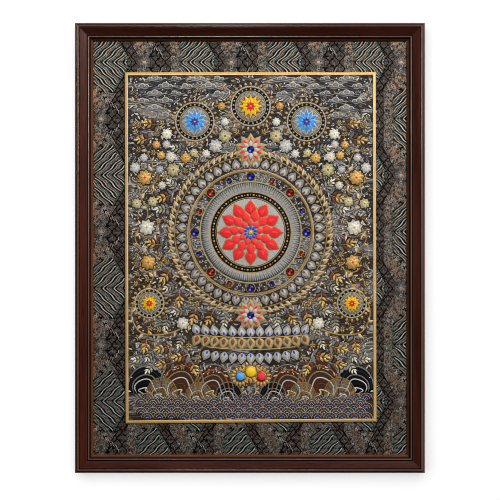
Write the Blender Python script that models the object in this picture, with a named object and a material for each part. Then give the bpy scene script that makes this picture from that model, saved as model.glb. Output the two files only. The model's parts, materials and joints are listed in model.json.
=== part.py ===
"""A framed thangka: a textile picture on a brocade mount, in a mitred wooden frame.

Metres, +Z up. The front faces -Y and +X is to the right as seen from the front.
The origin is on the wall side of the top rail, in the middle of its flat back.
"""
from math import atan2, cos, pi, radians, sin, tan

import bmesh
import bpy
from mathutils import Vector

# Outside size of the frame
FRAME_WIDTH = 0.700
FRAME_HEIGHT = 0.900

# Moulding, across the rail from its outer edge and up from the wall plane
RAIL_BACK = 0.022              # width of the flat back, up to the rabbet
RABBET_DEPTH = 0.0115
SHOULDER_FOOT = 0.0165         # where the rounded shoulder leaves the outer side
SHOULDER_RADIUS = 0.0046
OUTER_BEAD = (0.0063, 0.0234)  # centre of the outer bead
OUTER_BEAD_RADIUS = 0.0016
OUTER_GROOVE = 0.0224          # floor of the groove inside the outer bead
BAND_OUTER = (0.0097, 0.0236)  # high edge of the wide band
BAND_INNER = (0.0235, 0.0178)  # low edge of the wide band
BAND_CROWN = 0.0006            # how far the band swells above a straight slope
GROOVE_SIDE = 0.0002           # how far a groove's sides lean
INNER_GROOVE = 0.0166
INNER_BEAD = (0.0271, 0.0172)
INNER_BEAD_RADIUS = 0.0019
RAIL_STEP = 0.0152             # narrow flat between the inner bead and the slip
RAIL_WIDTH = 0.0312            # the rail's inner edge

# Slip, in the same measures as the moulding
SIGHT_WIDTH = 0.0360           # from the frame's outer edge to the brocade that shows
SLIP_BACK = 0.0083
SLIP_SHOULDER = 0.0139         # top of its slope, beside the rail's inner edge
SLIP_TOE = 0.0104              # low edge of its slope
TOE_ROUND = 0.0008             # the slope's low edge is eased

# Sheets, as heights of their back and front faces over the wall plane
BOARD_FACES = (0.0035, 0.0065)
BROCADE_FACES = (0.0068, 0.0080)
PICTURE_FACES = (0.0083, 0.0095)
RABBET_CLEARANCE = 0.0010      # between the sheets' edges and the rabbet's side

# The picture inside its gold fillet, which sits a little off the frame's centre
PICTURE_WIDTH = 0.502
PICTURE_HEIGHT = 0.701
PICTURE_RIGHT = 0.0015
PICTURE_UP = 0.0012
TOP_RISE = 0.0006              # how much each side is out of true
BOTTOM_RISE = 0.0038
LEFT_LEAN = 0.0016
RIGHT_LEAN = 0.0014

# Fillet, across from its outer edge and up from the wall plane
FILLET_WIDTH = 0.0068
FILLET_FOOT = 0.0030           # width of the foot that stands on the brocade
FILLET_BACK = 0.0083
FILLET_LIP = 0.0098            # underside of the lip over the picture's edge
FILLET_RIDGE = 0.0134
FILLET_FACE = (                # (across, below the ridge), from the outer edge to the lip
    (0.0000, 0.0014),
    (0.0007, 0.0003),
    (0.0022, 0.0000),
    (0.0035, 0.0006),
    (0.0060, 0.0018),
    (FILLET_WIDTH, 0.0024),
)

# Beads, glued round a medallion in the middle of the picture
BEAD_BASE = 0.0098
LARGE_BEAD = (0.0075, 0.0048)  # radius and height
SMALL_BEAD = (0.0050, 0.0034)
MEDALLION_UP = 0.030           # from the picture's centre
RING_RADIUS = 0.112
RING_BEADS = 16                # large and small in turn
CREST_REACH = 0.166            # from the medallion's centre to the beads above and below

GAP = 0.0003                   # between pieces that touch

# How finely round stretches are cut up
SHOULDER_STEPS = 5
MOULDING_BEAD_STEPS = 6
GLASS_AROUND = 20
GLASS_ROWS = 4
SHARP_EDGE = 35                # degrees, for the mouldings' shading
GLASS_SHARP_EDGE = 60


def finish(name, colour, roughness, metallic=0.0):
    """A plain Principled material."""
    material = bpy.data.materials.new(name)
    material.use_nodes = True
    shader = material.node_tree.nodes["Principled BSDF"]
    shader.inputs["Base Color"].default_value = (*colour, 1.0)
    shader.inputs["Roughness"].default_value = roughness
    shader.inputs["Metallic"].default_value = metallic
    material.diffuse_color = (*colour, 1.0)
    return material


def add_object(name, mesh_data, material, parent):
    """Close a bmesh off as an object with outward faces."""
    bmesh.ops.recalc_face_normals(mesh_data, faces=mesh_data.faces)
    mesh = bpy.data.meshes.new(name)
    mesh_data.to_mesh(mesh)
    mesh_data.free()
    mesh.materials.append(material)
    piece = bpy.data.objects.new(name, mesh)
    bpy.context.scene.collection.objects.link(piece)
    piece.parent = parent
    return piece


def shade_round(piece, sharp_degrees):
    """Smooth shading, kept crisp at edges above an angle."""
    piece.data.shade_smooth()
    piece.data.set_sharp_from_angle(angle=radians(sharp_degrees))


def arc(centre, radius, start, end, steps):
    """Points on a round stretch of a profile, from start to end in degrees."""
    points = []
    for step in range(steps + 1):
        angle = radians(start + (end - start) * step / steps)
        points.append((centre[0] + radius * cos(angle), centre[1] + radius * sin(angle)))
    return points


def rail_profile():
    """The moulding's section: (across, up) from the outer back edge, once around."""
    shoulder = arc((SHOULDER_RADIUS, SHOULDER_FOOT), SHOULDER_RADIUS, 180, 90, SHOULDER_STEPS)
    outer_bead = arc(OUTER_BEAD, OUTER_BEAD_RADIUS, 180, 0, MOULDING_BEAD_STEPS)
    inner_bead = arc(INNER_BEAD, INNER_BEAD_RADIUS, 180, 0, MOULDING_BEAD_STEPS)
    crown = ((BAND_OUTER[0] + BAND_INNER[0]) / 2,
             (BAND_OUTER[1] + BAND_INNER[1]) / 2 + BAND_CROWN)
    profile = [(0.0, 0.0)]
    profile += shoulder
    profile += outer_bead
    profile.append((outer_bead[-1][0] + GROOVE_SIDE, OUTER_GROOVE))
    profile.append((BAND_OUTER[0] - GROOVE_SIDE, OUTER_GROOVE))
    profile += [BAND_OUTER, crown, BAND_INNER]
    profile.append((BAND_INNER[0] + 2 * GROOVE_SIDE, INNER_GROOVE))
    profile.append((inner_bead[0][0] - GROOVE_SIDE, INNER_GROOVE))
    profile += inner_bead
    profile.append((inner_bead[-1][0] + GROOVE_SIDE, RAIL_STEP))
    profile.append((RAIL_WIDTH, RAIL_STEP))
    profile.append((RAIL_WIDTH, RABBET_DEPTH))
    profile.append((RAIL_BACK, RABBET_DEPTH))
    profile.append((RAIL_BACK, 0.0))
    return profile


def slip_profile():
    """A strip under the rail's inner edge, with a sloping face that shows."""
    tongue_top = RABBET_DEPTH - GAP
    shoulder = RAIL_WIDTH + GAP
    return [(RAIL_BACK + GAP, SLIP_BACK),
            (RAIL_BACK + GAP, tongue_top),
            (shoulder, tongue_top),
            (shoulder, SLIP_SHOULDER),
            (SIGHT_WIDTH - TOE_ROUND, SLIP_TOE + TOE_ROUND),
            (SIGHT_WIDTH, SLIP_TOE),
            (SIGHT_WIDTH, SLIP_BACK)]


def fillet_profile():
    """A small strip: a foot on the brocade, and a lip that laps over the picture."""
    profile = [(0.0, FILLET_BACK)]
    profile += [(across, FILLET_RIDGE - below) for across, below in FILLET_FACE]
    profile.append((FILLET_WIDTH, FILLET_LIP))
    profile.append((FILLET_FOOT, FILLET_LIP))
    profile.append((FILLET_FOOT, FILLET_BACK))
    return profile


def frame_corners():
    """Outer corners of the frame as (x, z), clockwise from the top left."""
    top = RAIL_BACK / 2
    side = FRAME_WIDTH / 2
    return [Vector((-side, top)), Vector((side, top)),
            Vector((side, top - FRAME_HEIGHT)), Vector((-side, top - FRAME_HEIGHT))]


def picture_centre():
    """Middle of the picture as (x, z)."""
    return Vector((PICTURE_RIGHT, RAIL_BACK / 2 - FRAME_HEIGHT / 2 + PICTURE_UP))


def fillet_corners():
    """Outer corners of the fillet as (x, z), each side a little out of true."""
    middle = picture_centre()
    half_width = PICTURE_WIDTH / 2
    half_height = PICTURE_HEIGHT / 2
    out_of_true = [(-LEFT_LEAN, -TOP_RISE), (-RIGHT_LEAN, TOP_RISE),
                   (RIGHT_LEAN, BOTTOM_RISE), (LEFT_LEAN, -BOTTOM_RISE)]
    signs = [(-1, 1), (1, 1), (1, -1), (-1, -1)]
    corners = []
    for (right, up), (lean, rise) in zip(signs, out_of_true):
        corners.append(middle + Vector((right * half_width + lean / 2, up * half_height + rise / 2)))
    return corners


def half_angle(corners, index):
    """Half of the inside angle at a corner."""
    here = corners[index]
    before = corners[index - 1] - here
    after = corners[(index + 1) % len(corners)] - here
    return before.angle(after) / 2


def inset(corners, distance):
    """Corners of the same outline, drawn in by a distance on every side."""
    moved = []
    for index, here in enumerate(corners):
        to_before = (corners[index - 1] - here).normalized()
        to_after = (corners[(index + 1) % len(corners)] - here).normalized()
        half = half_angle(corners, index)
        moved.append(here + (to_before + to_after).normalized() * distance / sin(half))
    return moved


def mitred_strip(name, corners, side, profile, material, parent):
    """One side of a mitred border. Its own X runs along the side and its own Z outwards."""
    start = corners[side]
    end = corners[(side + 1) % len(corners)]
    along = end - start
    half_length = along.length / 2
    start_half = half_angle(corners, side)
    end_half = half_angle(corners, (side + 1) % len(corners))
    clear = GAP / 2
    shape = bmesh.new()
    start_ring = []
    end_ring = []
    for across, up in profile:
        start_x = -half_length + across / tan(start_half) + clear / sin(start_half)
        end_x = half_length - across / tan(end_half) - clear / sin(end_half)
        start_ring.append(shape.verts.new((start_x, -up, -across)))
        end_ring.append(shape.verts.new((end_x, -up, -across)))
    count = len(profile)
    for index in range(count):
        following = (index + 1) % count
        shape.faces.new((start_ring[index], start_ring[following],
                         end_ring[following], end_ring[index]))
    shape.faces.new(start_ring)
    shape.faces.new(end_ring)
    piece = add_object(name, shape, material, parent)
    middle = (start + end) / 2
    piece.location = (middle.x, 0.0, middle.y)
    piece.rotation_euler = (0.0, atan2(-along.y, along.x), 0.0)
    shade_round(piece, SHARP_EDGE)
    return piece


def flat_sheet(name, corners, faces, material, parent):
    """A flat sheet between two heights over the wall plane, placed by its centre."""
    back, front = faces
    centre = sum(corners, Vector((0.0, 0.0))) / len(corners)
    shape = bmesh.new()
    rings = []
    for height in (back, front):
        rings.append([shape.verts.new((corner.x - centre.x, -height, corner.y - centre.y))
                      for corner in corners])
    shape.faces.new(rings[0])
    shape.faces.new(rings[1])
    for index in range(len(corners)):
        following = (index + 1) % len(corners)
        shape.faces.new((rings[0][index], rings[0][following],
                         rings[1][following], rings[1][index]))
    piece = add_object(name, shape, material, parent)
    piece.location = (centre.x, 0.0, centre.y)
    return piece


def bead(name, place, size, material, parent):
    """A half-round bead with a flat back, its own origin at the middle of that back."""
    radius, height = size
    shape = bmesh.new()
    rings = []
    for row in range(GLASS_ROWS):
        rise = pi / 2 * row / GLASS_ROWS
        ring = []
        for step in range(GLASS_AROUND):
            turn = 2 * pi * step / GLASS_AROUND
            ring.append(shape.verts.new((radius * cos(rise) * cos(turn), -height * sin(rise),
                                         radius * cos(rise) * sin(turn))))
        rings.append(ring)
    tip = shape.verts.new((0.0, -height, 0.0))
    for low, high in zip(rings, rings[1:]):
        for step in range(GLASS_AROUND):
            following = (step + 1) % GLASS_AROUND
            shape.faces.new((low[step], low[following], high[following], high[step]))
    for step in range(GLASS_AROUND):
        shape.faces.new((rings[-1][step], rings[-1][(step + 1) % GLASS_AROUND], tip))
    shape.faces.new(rings[0])
    piece = add_object(name, shape, material, parent)
    piece.location = (place.x, -BEAD_BASE, place.y)
    shade_round(piece, GLASS_SHARP_EDGE)
    return piece


def add_borders(parent):
    """The frame's rails, the slips inside them and the fillet round the picture."""
    wood = finish("lacquered_wood", (0.032, 0.009, 0.005), 0.32)
    stain = finish("stained_slip", (0.200, 0.055, 0.018), 0.45)
    gilt = finish("gilt_fillet", (0.560, 0.340, 0.120), 0.38, 0.75)
    borders = [("rail", frame_corners(), rail_profile(), wood),
               ("slip", frame_corners(), slip_profile(), stain),
               ("fillet", fillet_corners(), fillet_profile(), gilt)]
    for kind, corners, profile, material in borders:
        for side, side_name in enumerate(("top", "right", "bottom", "left")):
            mitred_strip(f"{kind}_{side_name}", corners, side, profile, material, parent)


def add_sheets(parent):
    """The backing board, the brocade mount and the picture's cloth."""
    board = finish("plain_board", (0.230, 0.150, 0.085), 0.85)
    brocade = finish("brocade_cloth", (0.075, 0.065, 0.055), 0.80)
    picture = finish("picture_weave", (0.090, 0.075, 0.055), 0.80)
    in_rabbet = inset(frame_corners(), RAIL_BACK + RABBET_CLEARANCE)
    in_fillet = inset(fillet_corners(), FILLET_FOOT + GAP)
    flat_sheet("backing_board", in_rabbet, BOARD_FACES, board, parent)
    flat_sheet("brocade_mount", in_rabbet, BROCADE_FACES, brocade, parent)
    flat_sheet("picture_cloth", in_fillet, PICTURE_FACES, picture, parent)


def add_beads(parent):
    """A ring of large and small beads in turn, and one large bead above and below it."""
    blue = finish("blue_glass", (0.010, 0.012, 0.480), 0.06)
    red = finish("red_glass", (0.500, 0.008, 0.010), 0.06)
    middle = picture_centre() + Vector((0.0, MEDALLION_UP))
    large_places = []
    small_places = []
    for index in range(RING_BEADS):
        angle = pi / 2 - 2 * pi * index / RING_BEADS
        place = middle + RING_RADIUS * Vector((cos(angle), sin(angle)))
        colour = blue if (index // 2 + index) % 2 == 0 else red
        if index % 2 == 0:
            large_places.append((place, colour))
        else:
            small_places.append((place, colour))
    for up in (1, -1):
        large_places.append((middle + Vector((0.0, up * CREST_REACH)), blue))
    for kind, size, places in (("large", LARGE_BEAD, large_places),
                               ("small", SMALL_BEAD, small_places)):
        for number, (place, material) in enumerate(places, start=1):
            bead(f"bead_{kind}_{number:02d}", place, size, material, parent)


def main():
    for leftover in list(bpy.data.objects):
        bpy.data.objects.remove(leftover, do_unlink=True)
    hanging = bpy.data.objects.new("framed_thangka", None)
    bpy.context.scene.collection.objects.link(hanging)
    add_borders(hanging)
    add_sheets(hanging)
    add_beads(hanging)


main()
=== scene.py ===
# %% [markdown]
# # A framed thangka, built in cells
#
# A thangka is a devotional picture on cloth. This one is framed: a dark mitred moulding holds a
# patterned brocade, the picture lies on the brocade, and a small gold fillet laps over its edge.
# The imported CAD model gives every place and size. The cells below dress it, from the outside in:
# stage, mouldings, brocade, picture, beads and board. Run them in order.

import json
from math import atan2, cos, degrees, hypot, pi, radians, sin, tan

import bmesh
import bpy
import numpy as np
from mathutils import Matrix, Vector

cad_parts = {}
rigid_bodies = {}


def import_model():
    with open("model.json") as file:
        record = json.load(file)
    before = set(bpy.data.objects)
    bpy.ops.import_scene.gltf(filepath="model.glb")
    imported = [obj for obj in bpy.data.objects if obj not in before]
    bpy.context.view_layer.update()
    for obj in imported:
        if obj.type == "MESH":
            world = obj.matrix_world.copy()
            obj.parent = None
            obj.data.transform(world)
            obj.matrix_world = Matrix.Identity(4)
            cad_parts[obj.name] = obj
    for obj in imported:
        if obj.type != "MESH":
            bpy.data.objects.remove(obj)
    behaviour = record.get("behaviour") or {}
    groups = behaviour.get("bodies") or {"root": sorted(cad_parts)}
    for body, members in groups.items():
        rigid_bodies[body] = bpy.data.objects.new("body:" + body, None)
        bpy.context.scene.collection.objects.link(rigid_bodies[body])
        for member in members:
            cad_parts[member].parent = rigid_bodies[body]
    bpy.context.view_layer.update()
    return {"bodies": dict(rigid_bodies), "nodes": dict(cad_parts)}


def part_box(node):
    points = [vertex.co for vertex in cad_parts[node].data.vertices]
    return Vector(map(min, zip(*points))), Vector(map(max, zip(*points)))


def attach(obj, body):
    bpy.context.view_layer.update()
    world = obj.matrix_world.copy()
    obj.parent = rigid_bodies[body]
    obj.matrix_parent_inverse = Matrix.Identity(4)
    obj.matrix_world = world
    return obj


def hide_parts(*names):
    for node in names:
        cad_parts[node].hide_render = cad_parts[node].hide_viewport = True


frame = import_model()
nodes = frame["nodes"]
print(len(nodes), "nodes on bodies", sorted(frame["bodies"]))

# %% [markdown]
# ## Sizes
#
# The same named sizes shape the solids and the scene, so a finer piece lies exactly where its solid
# lies. Everything is in metres. A height is measured from the wall towards the viewer, and the
# viewer looks along +Y, so a height h is at y = -h.

# %% Sizes shared with the solids
FRAME_WIDTH = 0.700
FRAME_HEIGHT = 0.900
RAIL_BACK = 0.022
RABBET_DEPTH = 0.0115
RAIL_WIDTH = 0.0312
SIGHT_WIDTH = 0.0360
BROCADE_BACK = 0.0068
BROCADE_FRONT = 0.0080
PICTURE_BACK = 0.0083
PICTURE_FRONT = 0.0095
PICTURE_WIDTH = 0.503
PICTURE_HEIGHT = 0.702
FILLET_WIDTH = 0.0062
FILLET_FOOT = 0.0030
RABBET_CLEARANCE = 0.0010
GAP = 0.0003
MITRE_GAP = 0.00001
MM = 0.001

frame_middle = Vector((0.0, RAIL_BACK / 2 - FRAME_HEIGHT / 2))
picture_middle = frame_middle + Vector((0.0015, 0.0012))
print("frame's middle", tuple(round(value, 4) for value in frame_middle))

# %% [markdown]
# ## Nodes written as sums
#
# Finishes and repeats are node trees. They could be wired by hand in the editor, but a script can be
# read and run again. A Graph adds nodes to a tree. A Wire is one output of a node, and wires can be
# added and multiplied like numbers: each sum becomes a Math node. A Finish is the graph of a
# material, whose Principled shader has its plain numbers set.

# %% Wires, graphs and finishes
class Wire:
    """One output of a node. A sum written with wires becomes Math nodes."""

    def __init__(self, graph, socket):
        self.graph = graph
        self.socket = socket

    def __add__(self, other):
        return self.graph.math("ADD", self, other)

    def __sub__(self, other):
        return self.graph.math("SUBTRACT", self, other)

    def __rsub__(self, other):
        return self.graph.math("SUBTRACT", other, self)

    def __mul__(self, other):
        return self.graph.math("MULTIPLY", self, other)

    def __truediv__(self, other):
        return self.graph.math("DIVIDE", self, other)


class Graph:
    """A node tree with short ways to add what the pieces need."""

    def __init__(self, tree):
        self.tree = tree

    def set(self, socket, value):
        """Give an input a value or a wire."""
        if isinstance(value, Wire):
            self.tree.links.new(value.socket, socket)
        else:
            socket.default_value = value

    def node(self, kind, inputs=None, **settings):
        """A node with its settings and its inputs."""
        node = self.tree.nodes.new(kind)
        for name, value in settings.items():
            setattr(node, name, value)
        for socket, value in (inputs or {}).items():
            self.set(node.inputs[socket], value)
        return node

    def wire(self, kind, inputs=None, out=0, **settings):
        """One output of a new node."""
        return Wire(self, self.node(kind, inputs, **settings).outputs[out])

    def math(self, operation, *values):
        return self.wire("ShaderNodeMath", dict(enumerate(values)), operation=operation)

    def vectors(self, operation, first, second=(0.0, 0.0, 0.0), out=0):
        return self.wire("ShaderNodeVectorMath", {0: first, 1: second}, out, operation=operation)

    def parts(self, vector):
        """The x, y and z of a vector."""
        return [Wire(self, socket)
                for socket in self.node("ShaderNodeSeparateXYZ", {0: vector}).outputs]

    def vector(self, x=0.0, y=0.0, z=0.0):
        return self.wire("ShaderNodeCombineXYZ", {0: x, 1: y, 2: z})

    def map(self, value, low, high, to_low=0.0, to_high=1.0, kind="LINEAR"):
        """A value taken from one range to another, and held at its ends."""
        return self.wire("ShaderNodeMapRange",
                         {"Value": value, "From Min": low, "From Max": high, "To Min": to_low,
                          "To Max": to_high}, interpolation_type=kind)

    def attribute(self, name, out="Fac"):
        """What the mesh keeps under a name, for a material."""
        return self.wire("ShaderNodeAttribute", None, out, attribute_name=name)

    def object_place(self):
        return self.wire("ShaderNodeTexCoord", None, "Object")

    def noise(self, place, scale, detail, **more):
        """Soft noise round a half."""
        return self.wire("ShaderNodeTexNoise",
                         {"Vector": place, "Scale": scale, "Detail": detail, **more})

    def stretched_noise(self, grain, along, around, detail=4.0, roughness=0.6):
        """Noise drawn out along the grain: scales per metre along and round a stick."""
        place = self.vectors("MULTIPLY", grain, (along, around, 1.0))
        return self.noise(place, 1.0, detail, Roughness=roughness)

    def weave(self, x, z, pitch):
        """Plain weave: high where warp and weft cross."""
        turns = 2 * pi / pitch
        return self.math("SINE", x * turns) * self.math("SINE", z * turns)

    def ramp(self, factor, stops, interpolation="LINEAR"):
        """Colours along a factor: stops are (place, colour)."""
        node = self.node("ShaderNodeValToRGB", {0: factor})
        node.color_ramp.interpolation = interpolation
        elements = node.color_ramp.elements
        while len(elements) < len(stops):
            elements.new(0.5)
        for element, (place, colour) in zip(elements, stops):
            element.position = place
            element.color = (*colour, 1.0)
        return Wire(self, node.outputs[0])

    def mix(self, factor, first, second, blend="MIX"):
        """Two colours mixed by a factor, each a colour or a wire."""
        inputs = {0: factor, 6: first, 7: second}
        inputs = {socket: (*value, 1.0) if isinstance(value, tuple) else value
                  for socket, value in inputs.items()}
        return self.wire("ShaderNodeMix", inputs, 2, data_type="RGBA", blend_type=blend)


class Finish(Graph):
    """The graph of a new material."""

    def __init__(self, name, **sockets):
        self.material = bpy.data.materials.new(name)
        self.material.use_nodes = True
        super().__init__(self.material.node_tree)
        self.shader = self.tree.nodes["Principled BSDF"]
        for socket, value in sockets.items():
            self.shader.inputs[socket.replace("_", " ")].default_value = value

    def paint(self, colour, height=None, depth=0.0, strength=0.5, rough=None):
        """The finished material, with its colour, and its bump and roughness where it has them."""
        self.set(self.shader.inputs["Base Color"], colour)
        if rough is not None:
            self.set(self.shader.inputs["Roughness"], rough)
        if height is not None:
            raised = {"Height": height, "Distance": depth, "Strength": strength}
            self.set(self.shader.inputs["Normal"], self.wire("ShaderNodeBump", raised))
        return self.material


def add_object(name, data):
    """A new object in the scene."""
    item = bpy.data.objects.new(name, data)
    bpy.context.scene.collection.objects.link(item)
    return item


print("graphs are ready")

# %% [markdown]
# ## Camera
#
# The picture was taken square on, from far enough away that its sides look parallel. A camera set to
# parallel view would do that too, but a long lens keeps a little real depth in the mouldings. One
# metre fits across the view at the depth of the frame's front edges.

# %% Camera
CAMERA_DISTANCE = 3.6
VIEW_WIDTH = 1.0
SENSOR = 36.0
FRONT_EDGES = 0.0165
EYE_SIDE = 0.0002
EYE_HEIGHT = -0.4430

camera_data = bpy.data.cameras.new("camera")
camera_data.sensor_width = SENSOR
camera_data.lens = SENSOR * CAMERA_DISTANCE / VIEW_WIDTH
camera = add_object("camera", camera_data)
camera.location = (EYE_SIDE, -FRONT_EDGES - CAMERA_DISTANCE, EYE_HEIGHT)
camera.rotation_euler = (radians(90), 0.0, 0.0)
bpy.context.scene.camera = camera
bpy.context.scene.view_settings.view_transform = "Standard"
bpy.context.scene.cycles.filter_width = 0.9
print("lens", round(camera_data.lens, 1), "mm")

# %% [markdown]
# ## Stage
#
# The frame hangs in front of a white wall, over a pale floor. One curved sheet could be both, but a
# wall of its own can be lit by itself. It is seen from its front only, so that a view from behind
# still shows the frame's back, and it glows a little, as a lit white backdrop does.

# %% Wall and floor
WALL_DEPTH = 0.014
WALL_TOP = 3.0
FLOOR_DROP = 1.35
REACH = 4.0


def stage_finish(name, colour, one_sided, glow=0.0):
    """A matt stage colour, which can glow a little and can vanish when it is seen from behind."""
    finish = Finish(name, Roughness=0.95, Emission_Strength=glow,
                    Emission_Color=(1.0, 1.0, 1.0, 1.0))
    speckle = finish.wire("ShaderNodeTexNoise", {"Scale": 30.0, "Detail": 3.0})
    if one_sided:
        behind = finish.wire("ShaderNodeNewGeometry", None, "Backfacing")
        clear = finish.wire("ShaderNodeBsdfTransparent")
        either = finish.wire("ShaderNodeMixShader",
                             {0: behind, 1: Wire(finish, finish.shader.outputs[0]), 2: clear})
        finish.set(finish.tree.nodes["Material Output"].inputs[0], either)
    return finish.paint(finish.mix(speckle, colour, tuple(value * 0.985 for value in colour)))


def stage_plane(name, corners, material):
    """A flat four-cornered piece of the stage."""
    mesh = bpy.data.meshes.new(name)
    mesh.from_pydata(corners, [], [(0, 1, 2, 3)])
    mesh.materials.append(material)
    plane = add_object(name, mesh)
    return plane


floor_level = frame_middle.y - FLOOR_DROP
wall = stage_plane("wall", [(-REACH, WALL_DEPTH, floor_level), (REACH, WALL_DEPTH, floor_level),
                            (REACH, WALL_DEPTH, WALL_TOP), (-REACH, WALL_DEPTH, WALL_TOP)],
                   stage_finish("wall_paint", (0.93, 0.93, 0.93), True, glow=0.43))
floor = stage_plane("floor", [(-REACH, -REACH, floor_level), (REACH, -REACH, floor_level),
                              (REACH, REACH, floor_level), (-REACH, REACH, floor_level)],
                    stage_finish("floor_paint", (0.80, 0.79, 0.77), False))
floor.visible_diffuse = False
floor.visible_glossy = False
print("wall and floor are in place")

# %% [markdown]
# ## Light
#
# A key lamp from the upper right, in front, brightens the slopes of the bottom and left rails and
# leaves the top one dark. A smaller lamp straight in front puts a spark on each bead. Two little lamps
# beside the frame rub a shine along its outer bead at the left and the top. The wall has its own wide
# lamp from the upper left, as a backdrop has in a studio, for a soft shadow at the lower right. Light
# linking lets each lamp reach the wall alone, or everything but the wall.

# %% Lamps
AIM = (0.0, 0.0, frame_middle.y)
LAMPS = {                       # place, aim, width, power, and whether it leaves out the wall
    "key": ((1.90, -2.40, 1.30), AIM, 0.8, 112, "EXCLUDE"),
    "front_lamp": ((-0.10, -2.6, 0.02), AIM, 0.35, 20, "EXCLUDE"),
    "backdrop_lamp": ((-1.16, -4.0, 1.16), (-1.16, 0.0, 1.16), 8.0, 313, "INCLUDE"),
    "left_edge_lamp": ((-0.80, -0.32, 0.10), (-0.35, -0.02, -0.10), 0.20, 1.1, "EXCLUDE"),
    "top_edge_lamp": ((-0.05, -0.32, 0.55), (-0.05, -0.02, 0.0), 0.20, 1.1, "EXCLUDE"),
}
for name, (place, aim, width, power, wall_state) in LAMPS.items():
    data = bpy.data.lights.new(name, "AREA")
    data.size = width
    data.energy = power
    lamp = add_object(name, data)
    lamp.location = place
    lamp.rotation_euler = (Vector(aim) - Vector(place)).to_track_quat("-Z", "Y").to_euler()
    lamp.visible_camera = False
    receivers = bpy.data.collections.new(name + "_receivers")
    receivers.objects.link(wall)
    receivers.collection_objects[0].light_linking.link_state = wall_state
    lamp.light_linking.receiver_collection = receivers
print(len(LAMPS), "lamps")

# %% [markdown]
# ## Room
#
# Lacquer shows the room around it. A plain grey world would turn the flat lacquer grey, so the room
# is bright at its sides and dark behind the camera, which keeps it black and lights its rounded edges.

# %% Room
ROOM_SIDES = 0.07
ROOM_BELOW = 0.25
ROOM_BEHIND_CAMERA = 0.015
ROOM_BEHIND_WALL = 0.7

world = bpy.data.worlds.new("studio_room")
bpy.context.scene.world = world
world.use_nodes = True
room = Graph(world.node_tree)
away, up = room.parts(room.wire("ShaderNodeTexCoord", None, "Generated"))[1:]
sides = room.map(away, -0.85, -0.35, ROOM_BEHIND_CAMERA, ROOM_SIDES, "SMOOTHSTEP")
below = room.map(up, -0.4, 0.3, ROOM_BELOW, 1.0)
behind = room.map(away, 0.05, 0.3, 0.0, ROOM_BEHIND_WALL)
background = world.node_tree.nodes["Background"]
background.inputs[0].default_value = (1.0, 1.0, 1.0, 1.0)
room.set(background.inputs[1], sides * below + behind)
print("room has", len(world.node_tree.nodes), "nodes")

# %% [markdown]
# ## Mouldings
#
# A joiner planes a moulding as one long stick and cuts it to 45 degree mitres. The script does the
# same. A section is drawn once, a Geometry Nodes tree runs it along a straight line and shears both
# ends to the mitre, and each stick is then turned to its side of the frame. A single sweep round the
# corner would be quicker, but it would have no joints and its grain would bend. Corners of the
# section are eased with small arcs, because no planed and lacquered edge is razor sharp.

# %% Round lines and eased corners
def dashes(start, end, count):
    """Evenly spaced numbers from start to end."""
    return [start + (end - start) * step / (count - 1) for step in range(count)]


def arc(radius, start, end, count, x=0.0, z=0.0, squash=1.0):
    """Points on a round line, from one angle to another in degrees."""
    return [(x + radius * cos(radians(turn)), z + squash * radius * sin(radians(turn)))
            for turn in dashes(start, end, count)]


def eased(points, radius, steps=3):
    """A closed section whose sharp corners are rounded, up to a third of the sides beside them.
    A point may carry two marks: painted shade in a groove, and on a crest a paler colour that is
    partly wear and partly a painted highlight."""
    result = []
    for index, (across, up, *marks) in enumerate(points):
        here = Vector((across, up))
        before = Vector(points[index - 1][:2]) - here
        after = Vector(points[(index + 1) % len(points)][:2]) - here
        marks = (marks + [0.0, 0.0])[:2]
        if before.angle(after) > radians(150):
            result.append((*here, *marks))
            continue
        reach = min(radius, before.length / 3, after.length / 3)
        start = here + before.normalized() * reach
        end = here + after.normalized() * reach
        for along in dashes(0.0, 1.0, steps + 1):
            point = start * (1 - along) ** 2 + here * 2 * along * (1 - along) + end * along ** 2
            result.append((*point, *marks))
    return result


print("a corner of three points eases to", len(eased([(0, 0), (1, 0), (0, 1)], 0.1)))

# %% The three sections
STRIP_BACK = 0.0083
LIP = 0.0098
BAND_START = (0.0102, 0.0236)
BAND_FALL = 0.0058
BAND_RUN = 0.0131
BAND_HOLLOW = 0.0009


def worn_highlit_bead(x, z, radius, wear_and_highlight=1.0):
    """A bead with a broad crown, pale on top with wear and a painted highlight, and painted shade at
    its foot.
    """
    points = []
    for turn in dashes(pi, 0.0, 13):
        across = radius * abs(cos(turn)) ** 0.55 * (1 if cos(turn) > 0 else -1)
        high = max(0.0, sin(turn)) ** 0.55
        points.append((x + across, z + radius * high, max(0.0, 1 - 2.2 * high),
                       wear_and_highlight * min(1.0, 1.4 * high ** 3)))
    return points


def rail_section():
    """Across and up, once round: shoulder, outer bead, wide band, inner bead, rabbet."""
    # Crest marks on the shoulder and at the band's edges paint a highlight; marks of 1.0 paint shade
    # in the grooves.
    shoulder = [(*point, 0.0, 0.40 * step / 10)
                for step, point in enumerate(arc(0.0046, 180, 90, 11, 0.0046, 0.0165))]
    band = [(BAND_START[0] + BAND_RUN * part,
             BAND_START[1] - BAND_FALL * part - BAND_HOLLOW * part * (1 - part),
             0.0, 0.22 if part in (0, 1) else 0.0) for part in dashes(0.0, 1.0, 9)]
    return eased([(0.0, 0.0), *shoulder, (0.0049, 0.0192, 1.0), *worn_highlit_bead(0.0067, 0.0233, 0.0014),
                  (0.0090, 0.0180, 1.0), (0.0100, 0.0232, 1.0), *band,
                  (0.0235, 0.0174, 1.0), (0.0246, 0.0125, 1.0), *worn_highlit_bead(0.0273, 0.0173, 0.0015),
                  (RAIL_WIDTH - 0.0002, 0.0126, 1.0), (RAIL_WIDTH, RABBET_DEPTH, 1.0),
                  (RAIL_BACK, RABBET_DEPTH), (RAIL_BACK, 0.0)], 0.0004)


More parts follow.
